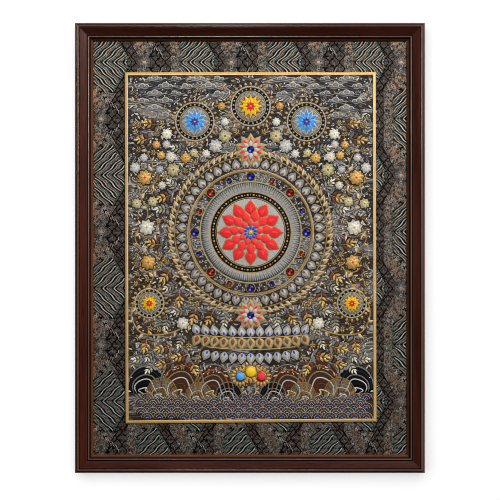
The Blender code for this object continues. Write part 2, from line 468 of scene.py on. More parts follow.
def slip_section():
    """A strip under the rail's inner edge, with a face that slopes to the brocade."""
    top = RABBET_DEPTH - GAP
    # Marks of 1.0 paint the slip black under the rail's edge, as shade.
    return eased([(RAIL_BACK + GAP, STRIP_BACK), (RAIL_BACK + GAP, top), (RAIL_WIDTH + GAP, top, 1.0),
                  (RAIL_WIDTH + GAP, 0.0124, 1.0), (0.0321, 0.0130, 1.0), (0.0325, 0.0132),
                  (SIGHT_WIDTH - 0.0008, 0.0112), (SIGHT_WIDTH, 0.0104),
                  (SIGHT_WIDTH, STRIP_BACK)], 0.0005)


def fillet_section():
    """A foot on the brocade and a lip over the picture, under a crown that falls outwards."""
    return eased([(0.0, STRIP_BACK), (0.0, 0.0104), (0.0006, 0.0110), (0.0022, 0.0114),
                  (0.0040, 0.0117), (0.0052, 0.0117), (0.0058, 0.0114), (FILLET_WIDTH, 0.0107),
                  (FILLET_WIDTH, LIP), (FILLET_FOOT, LIP), (FILLET_FOOT, STRIP_BACK)], 0.0003)


print("rail section has", len(rail_section()), "points")

# %% The tree that sweeps and mitres a section
def geometry_graph(name, sizes):
    """A Geometry Nodes tree with named inputs after its geometry, and those inputs as wires."""
    tree = bpy.data.node_groups.new(name, "GeometryNodeTree")
    tree.interface.new_socket("Geometry", in_out="INPUT", socket_type="NodeSocketGeometry")
    for size, kind, value in [*sizes, ("Material", "Material", None)]:
        socket = tree.interface.new_socket(size, in_out="INPUT", socket_type="NodeSocket" + kind)
        if value is not None:
            socket.default_value = value
    tree.interface.new_socket("Geometry", in_out="OUTPUT", socket_type="NodeSocketGeometry")
    graph = Graph(tree)
    outputs = tree.nodes.new("NodeGroupInput").outputs
    return graph, {socket.name: Wire(graph, socket) for socket in outputs}


def end_graph(graph, geometry, material):
    """Realize Instances and Set Material, then the tree's output. Gives back the tree."""
    real = graph.wire("GeometryNodeRealizeInstances", {0: geometry})
    dressed = graph.wire("GeometryNodeSetMaterial", {0: real, "Material": material})
    graph.node("NodeGroupOutput", {0: dressed})
    print(len(graph.tree.nodes), "nodes in", graph.tree.name)
    return graph.tree


def store(graph, geometry, name, value, kind="FLOAT"):
    """Keep a value at every point under a name."""
    return graph.wire("GeometryNodeStoreNamedAttribute",
                      {"Geometry": geometry, "Name": name, "Value": value},
                      data_type=kind, domain="POINT")


def moulding_tree():
    """A section curve, swept along X and sheared to its two mitres."""
    graph, given = geometry_graph("mitred_moulding", [
        ("Length", "Float", 1.0), ("Start Slope", "Float", 1.0), ("End Slope", "Float", 1.0),
        ("Start Gap", "Float", 0.0), ("End Gap", "Float", 0.0), ("Grain Shift", "Float", 0.0)])
    half = given["Length"] * 0.5
    line = graph.wire("GeometryNodeCurvePrimitiveLine",
                      {"Start": graph.vector(half * -1.0), "End": graph.vector(half)})
    line = graph.wire("GeometryNodeSetCurveNormal", {0: line}, mode="Z_UP")
    around = graph.wire("GeometryNodeSplineParameter", None, "Length")
    section = store(graph, given["Geometry"], "around", around)
    section = store(graph, section, "groove", graph.wire("GeometryNodeInputRadius"))
    section = store(graph, section, "crest", graph.wire("GeometryNodeInputCurveTilt"))
    swept = graph.wire("GeometryNodeCurveToMesh",
                       {"Curve": line, "Profile Curve": section, "Fill Caps": True})
    x, _, z = graph.parts(graph.wire("GeometryNodeInputPosition"))
    across = z * -1.0
    ahead = x / given["Length"] + 0.5
    start_cut = given["Start Gap"] + across * given["Start Slope"]
    end_cut = given["End Gap"] + across * given["End Slope"]
    shift = start_cut * (1.0 - ahead) - end_cut * ahead
    cut = graph.wire("GeometryNodeSetPosition", {"Geometry": swept, "Offset": graph.vector(shift)})
    wrapped = graph.wire("GeometryNodeInputNamedAttribute", {"Name": "around"}, data_type="FLOAT")
    grain = graph.vector(x + given["Grain Shift"], wrapped)
    return end_graph(graph, store(graph, cut, "grain", grain, "FLOAT_VECTOR"), given["Material"])


mitred_moulding = moulding_tree()

# %% Running a tree, and four sticks round a border
def run_tree(name, source, tree, values):
    """A plain mesh object made by a tree from a source object's data, with its inputs set."""
    carrier = add_object(name + "_source", source)
    modifier = carrier.modifiers.new("nodes", "NODES")
    modifier.node_group = tree
    for item in tree.interface.items_tree:
        if item.in_out == "INPUT" and item.name in values:
            modifier[item.identifier] = values[item.name]
    seen = carrier.evaluated_get(bpy.context.evaluated_depsgraph_get())
    mesh = bpy.data.meshes.new_from_object(seen)
    mesh.name = name
    bpy.data.objects.remove(carrier)
    return add_object(name, mesh)


def face_outwards(mesh):
    """Merge doubles and point every face out of its closed shape."""
    shape = bmesh.new()
    shape.from_mesh(mesh)
    bmesh.ops.remove_doubles(shape, verts=shape.verts, dist=1e-7)
    bmesh.ops.recalc_face_normals(shape, faces=shape.faces)
    shape.to_mesh(mesh)
    shape.free()


def section_curve(name, points):
    """A closed flat curve: X is the height and Y is across. Radius and tilt carry the marks."""
    curve = bpy.data.curves.new(name, "CURVE")
    curve.dimensions = "3D"
    spline = curve.splines.new("POLY")
    spline.points.add(len(points) - 1)
    for point, (across, up, groove, crest) in zip(spline.points, points):
        point.co = (up, across, 0.0, 1.0)
        point.radius = groove
        point.tilt = crest
    spline.use_cyclic_u = True
    return curve


def half_angle(corners, index):
    """Half of the inside angle at a corner."""
    here = corners[index]
    return (corners[index - 1] - here).angle(corners[(index + 1) % 4] - here) / 2


def mouldings(kind, corners, section, material, painted_shades, sharp_degrees=40):
    """Four mitred sticks round a border, each darkened by its own painted shade. Each one replaces its
    plain solid.
    """
    curve = section_curve(kind + "_section", section)
    for side, side_name in enumerate(("top", "right", "bottom", "left")):
        start = corners[side]
        end = corners[(side + 1) % 4]
        along = end - start
        start_half = half_angle(corners, side)
        end_half = half_angle(corners, (side + 1) % 4)
        piece = run_tree(f"{kind}_stick_{side_name}", curve, mitred_moulding, {
            "Length": along.length, "Start Slope": 1 / tan(start_half),
            "End Slope": 1 / tan(end_half), "Start Gap": MITRE_GAP / sin(start_half),
            "End Gap": MITRE_GAP / sin(end_half), "Grain Shift": 1.7 * side, "Material": material})
        middle = (start + end) / 2
        piece.data.transform(Matrix.Translation((middle.x, 0.0, middle.y))
                             @ Matrix.Rotation(atan2(-along.y, along.x), 4, "Y"))
        face_outwards(piece.data)
        piece.data.shade_smooth()
        piece.data.set_sharp_from_angle(angle=radians(sharp_degrees))
        # The tone attribute is painted shade: it darkens a stick by its side of the frame.
        tone = piece.data.attributes.new("tone", "FLOAT", "POINT").data
        tone.foreach_set("value", [painted_shades[side]] * len(tone))
        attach(piece, "root")
        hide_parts(f"{kind}_{side_name}")
        print(piece.name, len(piece.data.polygons), "faces",
              [round(value, 4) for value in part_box(f"{kind}_{side_name}")[0]])


# %% [markdown]
# ## Wood finishes
#
# The moulding is stained nearly black-brown and lacquered. Fine pores run along it, the tone drifts
# from place to place, and its beads, shoulders and band edges carry a paler colour that is partly wear
# and partly a painted highlight. Grooves are painted black as shade, and each stick is darkened by its
# side as painted shade. A picture of wood would need its own map on every stick. Noise stretched along
# the attribute "grain", along the stick and round its section, does without one, and its pores turn at
# every mitre. The fillet is muted gold on wood.

# %% Lacquer, stain and gold
def wood_finish(name, dark, light, worn, roughness, shine):
    """Stained wood: drifting tone, fine pores, worn and highlit crests, painted shade in grooves and
    by side.
    """
    finish = Finish(name, Specular_IOR_Level=shine)
    grain = finish.attribute("grain", "Vector")
    groove = finish.attribute("groove")
    drift = finish.stretched_noise(grain, 5.0, 60.0, 3.0)
    pores = finish.stretched_noise(grain, 24.0, 620.0, 4.0, 0.8)
    colour = finish.ramp(drift * 0.75 + pores * 0.80, [(0.54, dark), (0.96, light)])
    patchy = finish.map(drift, 0.3, 0.6, 0.55, 1.0)
    # Crests take a paler colour: partly wear, partly a painted highlight.
    colour = finish.mix(finish.attribute("crest") * patchy, colour, worn)
    # The tone darkens each stick as painted shade, most on the top side.
    colour = finish.mix(finish.attribute("tone"), (0.004, 0.0012, 0.0008), colour)
    # Grooves and bead feet are painted near black: painted shade in the recesses.
    colour = finish.mix(groove, colour, (0.0006, 0.0004, 0.0004))
    rough = finish.map(pores, 0.3, 0.7, roughness - 0.04, roughness + 0.06)
    return finish.paint(colour, pores, 0.00012, 0.5, finish.math("MAXIMUM", rough, groove))


def gilt_finish():
    """Muted gold: a warm metal with rubbed streaks along the stick and small dull spots."""
    finish = Finish("gilt_fillet_dressed", Metallic=0.35)
    grain = finish.attribute("grain", "Vector")
    spots = finish.stretched_noise(grain, 260.0, 420.0, 3.0)
    both = finish.stretched_noise(grain, 14.0, 900.0) * 0.6 + spots * 0.4
    colour = finish.ramp(both, [(0.34, (0.42, 0.235, 0.070)), (0.50, (0.68, 0.43, 0.155)),
                                (0.68, (0.86, 0.60, 0.26))])
    return finish.paint(colour, both, 0.00010, 0.4, finish.map(spots, 0.0, 1.0, 0.30, 0.55))


# The third colour is for the crests, as wear and a painted highlight.
lacquer = wood_finish("lacquered_wood_dressed", (0.025, 0.0046, 0.0024), (0.072, 0.0155, 0.0082),
                      (0.165, 0.082, 0.054), 0.19, 0.40)
stain = wood_finish("stained_slip_dressed", (0.07, 0.014, 0.003), (0.20, 0.050, 0.012),
                    (0.30, 0.12, 0.05), 0.42, 0.1)
gilt = gilt_finish()
print("finishes", lacquer.name, stain.name, gilt.name)

# %% [markdown]
# ## Twelve sticks
#
# Rails and slips follow the frame's outline. The fillet was nailed on by eye, so each of its sides is
# out of true by a millimetre or so. Each rail and slip is darkened by a painted shade of its own,
# deepest on the top ones.

# %% Make the twelve sticks
OUT_OF_TRUE = [(-0.0016, -0.0006), (-0.0014, 0.0006), (0.0014, 0.0038), (0.0016, -0.0038)]


def rectangle(middle, width, height):
    """Corners as (x, z), clockwise from the top left."""
    right = width / 2
    up = height / 2
    return [middle + Vector(corner) for corner in
            ((-right, up), (right, up), (right, -up), (-right, -up))]


frame_corners = rectangle(frame_middle, FRAME_WIDTH, FRAME_HEIGHT)
fillet_corners = [corner + Vector(shift) / 2 for corner, shift in
                  zip(rectangle(picture_middle, PICTURE_WIDTH, PICTURE_HEIGHT), OUT_OF_TRUE)]
# The last numbers are painted shade for the top, right, bottom and left sticks: lower is darker.
mouldings("rail", frame_corners, rail_section(), lacquer, (0.55, 1.0, 0.95, 1.0))
mouldings("slip", frame_corners, slip_section(), stain, (0.30, 0.55, 1.0, 0.9))
mouldings("fillet", fillet_corners, fillet_section(), gilt, (1.0, 1.0, 1.0, 1.0))

# %% [markdown]
# ## Thread work
#
# Brocade and embroidery lay coloured thread on a ground cloth, so every coloured shape here is a
# thin raised form: a strip for a line of thread, a patch for a filled petal or leaf. A bump map
# would be lighter, but it would throw no shadow and look flat from the side. Each colour gathers its
# own corners and faces. A corner also keeps a "stitch" place, so that the thread lines of a finish
# can follow the shape: x runs across the threads, y along them, and z is a tint.

# %% Strips and patches
def between(a, b, part):
    """A point part of the way from one point to another."""
    return a[0] + (b[0] - a[0]) * part, a[1] + (b[1] - a[1]) * part


class Thread:
    """Raised thread work of one colour. Points are (x, z) in a drawing's own unit, and heights are
    millimetres over the ground that the thread lies on."""

    def __init__(self, unit, ground=0.0):
        self.unit = unit
        self.ground = ground
        self.corners = []
        self.faces = []
        self.stitch = []

    def corner(self, point, height, across, along, tint):
        """One corner, with its place on the thread."""
        self.corners.append((point[0] * self.unit, -self.ground - height * MM, point[1] * self.unit))
        self.stitch.append((across * self.unit, along * self.unit, tint))

    def strip(self, left, right, high, tint=0.5, low=0.0, flat=False):
        """A closed strip between two lines of points: ridged, or flat on top."""
        first = len(self.corners)
        tops = (0.18, 0.82) if flat else (0.5,)
        count = len(tops) + 2
        along = 0.0
        before = between(left[0], right[0], 0.5)
        for a, b in zip(left, right):
            middle = between(a, b, 0.5)
            along += hypot(middle[0] - before[0], middle[1] - before[1])
            before = middle
            width = hypot(b[0] - a[0], b[1] - a[1])
            self.corner(a, low, 0.0, along, tint)
            for place, part in enumerate(tops, 1):
                self.corner(between(a, b, part), high, width * place / count, along, tint)
            self.corner(b, low, width, along, tint)
        last = first + (len(left) - 1) * count
        for here in range(first, last, count):
            for side in range(count):
                after = (side + 1) % count
                self.faces.append((here + side, here + after, here + count + after,
                                   here + count + side))
        self.faces.append(tuple(first + side for side in reversed(range(count))))
        self.faces.append(tuple(last + side for side in range(count)))

    def line(self, path, widths, high, tint=0.5, low=0.0):
        """A strip along a path, with one width or a width for each point."""
        if not isinstance(widths, (list, tuple)):
            widths = [widths] * len(path)
        left = []
        right = []
        for here, before, after, width in zip(path, path[:1] + path, path[1:] + path[-1:], widths):
            run = hypot(after[0] - before[0], after[1] - before[1]) or 1.0
            side_x = (after[1] - before[1]) / run * width / 2
            side_z = -(after[0] - before[0]) / run * width / 2
            left.append((here[0] - side_x, here[1] - side_z))
            right.append((here[0] + side_x, here[1] + side_z))
        self.strip(left, right, high, tint, low)

    def patch(self, outline, high, tint=0.5, turn=0.0, edge=0.14, middle=None):
        """A filled shape that swells to its middle. Its threads run at a turn in degrees."""
        area = sum(a[0] * b[1] - b[0] * a[1] for a, b in zip(outline, outline[1:] + outline[:1]))
        if area < 0:
            outline = outline[::-1]
        count = len(outline)
        middle = middle or tuple(sum(values) / count for values in zip(*outline))
        first = len(self.corners)
        c = cos(radians(turn))
        s = sin(radians(turn))
        places = [(point, 0.0) for point in outline]
        places += [(between(point, middle, edge), 0.8 * high) for point in outline]
        for (x, z), height in [*places, (middle, high)]:
            self.corner((x, z), height, x * c + z * s, z * c - x * s, tint)
        for index in range(count):
            here = first + index
            after = first + (index + 1) % count
            self.faces.append((here, after, after + count, here + count))
            self.faces.append((here + count, after + count, first + 2 * count))
        self.faces.append(tuple(first + index for index in reversed(range(count))))

    def mesh(self, name):
        """The gathered shapes as one mesh."""
        mesh = bpy.data.meshes.new(name)
        mesh.from_pydata(self.corners, [], self.faces)
        stitch = mesh.attributes.new("stitch", "FLOAT_VECTOR", "POINT")
        stitch.data.foreach_set("vector", np.array(self.stitch, dtype=np.float32).ravel())
        mesh.shade_smooth()
        return mesh


print("thread work is ready")

# %% [markdown]
# ## Brocade mount
#
# The mount is one length of figured silk. Its pattern is the old standing-water kind: chevrons of
# wavy lines in teal, silver and peach, between patches of scales and loose flowers. The whole cloth
# could be drawn line by line, but a loom repeats itself, and so does the script. One repeat is drawn
# once, as strips and patches in six thread colours. A Geometry Nodes tree then repeats it in
# half-drop, and drops what the picture or the slips would hide.

# %% The chevrons of the repeat
UNIT = 0.002005                 # the drawing's unit, in metres
WIDE = 87                       # the repeat, in units
HIGH = 113
FIRST_APEX = (-0.3065, -0.0666)
GROUND = BROCADE_FRONT - 0.00002
WAVE_PERIOD = 10.9
WAVE_HEIGHT = 31.0
WAVE_THREADS = [                # colour, place, width, tint and thickness of a wave's lines
    ("black", 0.0, 2.1, 0.1, 0.14), ("silver", 2.0, 1.6, 0.70, 0.18), ("black", 3.5, 2.3, 0.1, 0.14),
    ("peach", 5.7, 1.6, 0.60, 0.17), ("grey", 8.6, 1.3, 0.80, 0.14)]

brocade = {colour: Thread(UNIT, GROUND)
           for colour in ("teal", "black", "silver", "peach", "brown", "grey")}
chance = np.random.default_rng(7)


def wave_run(up):
    """How far a wave line has run to the right at a height over the chevron's middle."""
    return 1.05 * up + 0.8 * (sin(2 * pi * (up - 4) / 10) + 0.588)


def wave_left(up):
    return -5.0 + 1.3 * sin(0.8 * up) + 1.1 * max(0.0, up - 20)


def wave_right(up):
    return 34.5 - 0.58 * up


def flipped(points, mirror):
    """Points as they are, or turned over for the lower half."""
    return [(x, mirror * up) for x, up in points]


def wave_line(colour, start, width, tint, thick):
    """One line of thread in both halves of a chevron, cut off at the chevron's edges."""
    left = [(start + wave_run(up), up) for up in dashes(0.0, WAVE_HEIGHT, 23)
            if wave_left(up) <= start + wave_run(up) <= wave_right(up) - width]
    if len(left) < 3:
        return
    right = [(x + width, up) for x, up in left]
    for mirror in (1, -1):
        sides = [flipped(left, mirror), flipped(right, mirror)][::mirror]
        brocade[colour].strip(*sides, thick, tint)


def flat_ground(colour, edges, thick, tint, parts=None):
    """Flat cloth between (left, right, up) edges, in pieces small enough to be cut at the picture."""
    for low, high in zip(edges, edges[1:]):
        count = parts or max(2, int((low[1] - low[0]) / 4))
        for part in range(count):
            sides = [[(row[0] + (row[1] - row[0]) * (part + step) / count, row[2])
                      for row in (low, high)] for step in (0, 1)]
            brocade[colour].strip(*sides, thick, tint, flat=True)


flat_ground("teal", [(wave_left(abs(up)), wave_right(abs(up)), up)
                     for up in dashes(-WAVE_HEIGHT, WAVE_HEIGHT, 15)], 0.06, 0.5, 5)
for period in range(-3, 4):
    for colour, place, *look in WAVE_THREADS:
        wave_line(colour, period * WAVE_PERIOD + 3.3 + place, *look)
print(len(brocade["silver"].faces), "silver faces in the chevrons")

# %% Scales and eyes of the repeat
LENS_HALF = 33.0


def lens_left(up):
    """The left edge of the tall patch of scales left of a chevron."""
    return -16.5 - 17.0 * (1 - (up / LENS_HALF) ** 2)


def in_lens(x, up):
    return abs(up) < LENS_HALF and lens_left(up) < x < -15.5 + 2.0 * (1 - (up / LENS_HALF) ** 2)


def in_band(x, up):
    """The band of scales that follows a chevron's right edge."""
    edge = wave_right(abs(up)) + 0.8
    return abs(up) < WAVE_HEIGHT and edge < x < edge + 9.5


def lay_runs(colour, path, inside, width, thick, tint):
    """Thread along the stretches of a path that lie inside a shape."""
    runs = [[]]
    for point in path:
        if inside(*point):
            runs[-1].append(point)
        elif runs[-1]:
            runs.append([])
    for run in runs:
        if len(run) > 2:
            brocade[colour].line(run, width, thick, tint)


def scale_net(inside, left, right, half_high, wide=10.0, tall=13.0):
    """An ogee net of black lines with a thin brown line at each side, where a test allows."""
    heights = dashes(-half_high, half_high, int(2 * half_high / 1.4))
    for column in range(int((right - left) / (wide / 2)) + 2):
        sway = wide / 4 * (1 if column % 2 else -1)
        path = [(left + column * wide / 2 + sway * cos(2 * pi * up / tall), up) for up in heights]
        lay_runs("black", path, inside, 1.45, 0.16, 0.3)
        for shift in (-1.9, 1.9):
            lay_runs("brown", [(x + shift, up) for x, up in path], inside, 0.7, 0.13, 0.9)


flat_ground("grey", [(lens_left(up), -13.5, up) for up in dashes(-32.0, 32.0, 13)], 0.05, 0.30)
flat_ground("grey", [(wave_right(abs(up)) + 0.3, wave_right(abs(up)) + 10.5, up)
                     for up in dashes(-WAVE_HEIGHT, WAVE_HEIGHT, 15)], 0.05, 0.30)
scale_net(in_lens, -36.0, -12.0, LENS_HALF)
scale_net(in_band, 14.0, 46.0, WAVE_HEIGHT, 9.0, 12.0)
for mirror in (1, -1):
    for shift, width in ((0.4, 1.0), (10.2, 0.9)):
        edge = [(wave_right(up) + shift, up) for up in dashes(0.0, WAVE_HEIGHT, 16)]
        brocade["black"].line(flipped(edge, mirror), width, 0.18, 0.3)
    edge = [(lens_left(up), up) for up in dashes(0.0, LENS_HALF, 20)]
    brocade["black"].line(flipped(edge, mirror), 1.1, 0.18, 0.3)
for radius, colour, width in ((4.2, "black", 1.4), (5.7, "grey", 1.0), (7.0, "black", 1.2)):
    brocade[colour].line(arc(radius, 112, 248, 14, 34.0, 0.0, 1.15), width, 0.20, 0.6)
print(len(brocade["black"].faces), "black faces with the scales")

# %% Loose flowers of the repeat
FLOWER_TRIES = 3400


def ring(radius, count, x=0.0, z=0.0, squash=1.0):
    """Points all round a circle."""
    return arc(radius, 0.0, 360 - 360 / count, count, x, z, squash)


def petal_outline(length, width, point=0.0, steps=5):
    """A petal that grows up from the origin: round, or drawn out to a point."""
    right = []
    for step in range(1, steps + 1):
        part = step / (steps + 1)
        bulge = sin(pi * part ** 0.8) ** (0.8 + 0.6 * point)
        right.append((width / 2 * bulge, length * part))
    return [(0.0, 0.0), *right, (0.0, length), *((-x, up) for x, up in reversed(right))]


def placed(points, x, z, turn=0.0):
    """Points turned by degrees and moved."""
    c = cos(radians(turn))
    s = sin(radians(turn))
    return [(x + px * c - pz * s, z + px * s + pz * c) for px, pz in points]


def small_flower(x, z, size, colour, tint):
    """Loose petals round a black eye."""
    petals = int(chance.integers(4, 6))
    start = chance.uniform(0, 360)
    for index in range(petals):
        outline = placed(petal_outline(size, size * 0.85, 0.2, 2), x, z,
                         start + 360 * index / petals + chance.uniform(-9, 9))
        brocade[colour].patch(outline, 0.16, tint * chance.uniform(0.6, 1.25),
                              chance.uniform(0, 180))
    brocade["black"].patch(ring(0.26 * size, 5, x, z), 0.22, 0.3)


def free_for_flowers(x, up):
    """Outside every chevron, lens and band of the half-drop repeat."""
    for across in (-1, -0.5, 0, 0.5, 1, 1.5):
        for drop in (-1, 0, 1):
            dx = x - across * WIDE
            dy = up - (drop + across % 1) * HIGH
            height = abs(dy)
            if height < WAVE_HEIGHT + 1 and wave_left(height) - 2 < dx < wave_right(height) + 11:
                return False
            if any(in_lens(dx + shift, dy) for shift in (0, -2, 2)):
                return False
    return True


taken = []
for _ in range(FLOWER_TRIES):
    x, up = chance.uniform(-WIDE / 2, WIDE / 2), chance.uniform(-HIGH / 4, HIGH * 3 / 4)
    size = chance.choice([1.1, 1.5, 2.1])
    if not free_for_flowers(x, up):
        continue
    if any(hypot(x - tx, up - tup) < (size + ts) * 0.78 for tx, tup, ts in taken):
        continue
    taken.append((x, up, size))
    colour = chance.choice(["grey", "peach", "silver", "brown", "teal"],
                           p=[0.50, 0.05, 0.07, 0.26, 0.12])
    small_flower(x, up, size, str(colour), {"peach": 0.40, "silver": 0.42}.get(colour, 0.62))
print(len(taken), "flowers in a repeat")

# %% Blossom, leaves and voids beside each chevron
BLOSSOM = (47.5, 0.0, 10.5)     # x, height and radius
BLOSSOM_RINGS = [(1.0, 9, 0.35), (0.68, 7, 0.50), (0.4, 5, 0.65)]
LEAVES = [(37.5, 20.5, -38, 9.5), (41.0, 17.0, -46, 7.5), (44.0, 13.5, -52, 5.5)]
VOIDS = [(54.0, 6.2, 2.4), (60.0, 10.4, 2.2), (56.5, 15.2, 2.0), (51.0, 21.0, 2.2),
         (61.5, 3.4, 1.6), (47.0, 27.0, 1.8), (57.0, 27.5, 1.7), (66.0, 18.0, 1.5)]


def blossom(x, up, radius):
    """A ragged open flower of folded petals with an orange heart."""
    for level, (reach, petals, tint) in enumerate(BLOSSOM_RINGS):
        long = radius * reach
        for index in range(petals):
            turn = 360 * (index + level * 0.5) / petals
            outline = placed(petal_outline(long, long * 0.62, 0.0, 4), x, up, turn)
            brocade["grey"].patch(outline, 0.12 + 0.03 * level, tint, turn)
            fold = placed([(0.0, long * 0.45), (0.0, long * 0.95)], x, up, turn)
            brocade["black"].line(fold, [0.9, 0.3], 0.19 + 0.03 * level, 0.3)
    brocade["peach"].patch(ring(2.0, 8, x, up, 0.75), 0.24, 0.55)


blossom(*BLOSSOM)
for mirror in (1, -1):
    for x, up, turn, length in LEAVES:
        outline = placed(petal_outline(length, 3.4, 0.6), x, up, turn)
        brocade["peach"].patch(flipped(outline, mirror), 0.18, 0.30, turn)
    for index in range(9):
        x = 48.0 + 1.9 * index
        up = 23.0 - 1.6 * index + 2.0 * (index % 2)
        stroke = [(x, up), (x + 1.6, up - 2.4), (x + 2.2, up - 5.2)]
        brocade["silver"].line(flipped(stroke, mirror), [0.3, 1.3, 0.3], 0.22, 0.55)
    for x, up, size in VOIDS:
        turn = chance.uniform(0, 6)
        hollow = []
        for angle in dashes(0, 1.85 * pi, 12):
            reach = size * (1 + 0.45 * cos(3 * angle))
            hollow.append((x + reach * cos(angle + turn), up + 0.8 * reach * sin(angle + turn)))
        brocade["black"].patch(flipped(hollow, mirror), 0.20, 0.2)
print({colour: len(thread.faces) for colour, thread in brocade.items()})

# %% The tree that repeats the drawing
def repeat_tree():
    """A drawing instanced in half-drop rows and columns, cut to a frame-shaped field."""
    graph, given = geometry_graph("half_drop_repeat", [
        ("Columns", "Int", 5), ("Rows", "Int", 5), ("Wide", "Float", 0.1), ("High", "Float", 0.1),
        ("Start", "Vector", None), ("Middle", "Vector", None), ("Outside", "Vector", None),
        ("Inside", "Vector", None)])
    across = (given["Columns"] - 1.0) * given["Wide"]
    down = (given["Rows"] - 1.0) * given["High"]
    grids = []
    for half in (0.0, 0.5):
        grid = graph.wire("GeometryNodeMeshGrid",
                          {"Size X": across, "Size Y": down, "Vertices X": given["Columns"],
                           "Vertices Y": given["Rows"]})
        shift = graph.vector(given["Wide"] * half + across * 0.5, given["High"] * -half - down * 0.5)
        grids.append(graph.wire("GeometryNodeTransform", {"Geometry": grid, "Translation": shift}))
    both = graph.node("GeometryNodeJoinGeometry", {0: grids[0]})
    graph.set(both.inputs[0], grids[1])
    upright = graph.wire("GeometryNodeTransform",
                         {"Geometry": Wire(graph, both.outputs[0]), "Translation": given["Start"],
                          "Rotation": (radians(90), 0.0, 0.0)})
    copies = graph.wire("GeometryNodeInstanceOnPoints",
                        {"Points": upright, "Instance": given["Geometry"]})
    place = graph.wire("GeometryNodeInputPosition")
    drawn_in = graph.map(graph.parts(place)[0], 0.19, 0.30, 0.0, -0.009, "SMOOTHSTEP")
    cloth = graph.wire("GeometryNodeSetPosition",
                       {"Geometry": graph.wire("GeometryNodeRealizeInstances", {0: copies}),
                        "Offset": graph.vector(drawn_in)})
    away = graph.vectors("ABSOLUTE", graph.vectors("SUBTRACT", place, given["Middle"]))

    def past(limit):
        """1 beyond a limit from the middle, across or up."""
        pairs = list(zip(graph.parts(away), graph.parts(limit)))
        return graph.math("MAXIMUM", *(graph.math("GREATER_THAN", *pairs[axis]) for axis in (0, 2)))

    drop = graph.math("MAXIMUM", past(given["Outside"]), 1.0 - past(given["Inside"]))
    kept = graph.wire("GeometryNodeDeleteGeometry", {"Geometry": cloth, "Selection": drop},
                      domain="FACE")
    return end_graph(graph, kept, given["Material"])


half_drop_repeat = repeat_tree()

# %% [markdown]
# ## Thread finishes
#
# Every thread has a lit side and a dark side, and its dye is uneven. A finish could be one flat
# colour, but it would look printed. Here it runs between two tones along the tint, and thread lines
# across the stitch direction paint shade between threads; noise breaks it up. Silk and metal thread
# have a soft sheen. Towards the foot of the brocade a finish can turn browner and darker with height,
# as painted shade.

# %% Thread and cloth finishes
SHADE_HEIGHTS = (-0.10, -0.80)           # heights where the painted shade begins and ends


def thread_finish(name, dark, light, pitch=0.0009, roughness=0.5, metal=0.0, shaded_below=None, shine=0.2):
    """Laid thread: two tones, thread lines every pitch that paint shade between threads, uneven dye,
    and optional painted shade downwards.
    """
    finish = Finish(name, Metallic=metal, Roughness=roughness, Specular_IOR_Level=shine)
    across, _, tint = finish.parts(finish.attribute("stitch", "Vector"))
    place = finish.object_place()
    lines = finish.math("SINE", across * (2 * pi / pitch))
    dye = finish.noise(place, 420.0, 3.0)
    # The thread lines darken the colour between threads as painted shade.
    tone = lines * 0.16 + dye * 0.7 + (tint + finish.attribute("tone") - 0.35)
    colour = finish.ramp(tone, [(0.05, tuple(value * 0.35 for value in dark)), (0.35, dark),
                                (0.95, light)])
    # Lower down the colour is multiplied darker: painted shade.
    if shaded_below:
        down = finish.map(finish.parts(place)[2], *SHADE_HEIGHTS)
        colour = finish.mix(down, colour, shaded_below, "MULTIPLY")
    return finish.paint(colour, lines, 0.00008, 0.5)


def brocade_ground_finish():
    """The mount's own weave: crosswise threads over a mottled grey-brown dye."""
    finish = Finish("brocade_cloth_dressed", Roughness=0.75, Specular_IOR_Level=0.15)
    place = finish.object_place()
    x, _, z = finish.parts(place)
    weave = finish.weave(x, z, 0.0011)
    cells = finish.node("ShaderNodeTexVoronoi", {"Vector": place, "Scale": 400.0}, feature="F1")
    edge = Wire(finish, cells.outputs["Distance"])
    shade, dye, _ = finish.parts(Wire(finish, cells.outputs["Color"]))
    tone = edge * 0.9 + shade * 0.35 + finish.noise(place, 55.0, 5.0) * 0.3 + weave * 0.06
    colour = finish.ramp(tone, [(0.45, (0.006, 0.005, 0.005)), (0.70, (0.062, 0.050, 0.043)),
                                (1.0, (0.26, 0.21, 0.17))])
    dyed = finish.mix(dye, (1.0, 0.84, 0.72), (0.84, 1.0, 0.97))
    colour = finish.mix(1.0, colour, dyed, "MULTIPLY")
    # Darker towards the foot of the mount: painted shade.
    colour = finish.mix(finish.map(z, *SHADE_HEIGHTS), colour, (0.75, 0.74, 0.73), "MULTIPLY")
    return finish.paint(colour, weave, 0.00010, 0.5)


# The colour given for the foot of the mount is painted shade.
brocade_finishes = {
    "teal": thread_finish("brocade_teal", (0.032, 0.050, 0.044), (0.098, 0.128, 0.110), 0.0011,
                          shaded_below=(0.75, 0.80, 0.78)),
    "black": thread_finish("brocade_black", (0.0012, 0.0012, 0.0012), (0.004, 0.0036, 0.0036),
                           shine=0.05),
    "silver": thread_finish("brocade_silver", (0.22, 0.22, 0.20), (0.66, 0.66, 0.62), roughness=0.35,
                            shaded_below=(0.85, 0.85, 0.85)),
    "peach": thread_finish("brocade_peach", (0.36, 0.19, 0.105), (0.78, 0.52, 0.33), roughness=0.45,
                           shaded_below=(0.32, 0.30, 0.34)),
    "brown": thread_finish("brocade_brown", (0.025, 0.012, 0.009), (0.080, 0.040, 0.028)),
    "grey": thread_finish("brocade_grey", (0.040, 0.033, 0.029), (0.36, 0.31, 0.26),
                          shaded_below=(0.70, 0.70, 0.70)),
}
print(len(brocade_finishes), "brocade colours")

# %% Weave the mount
EDGE = 0.005                    # bare ground left at the rabbet
HIDDEN = (0.2415, 0.0, 0.3405)  # half the size of what the picture hides


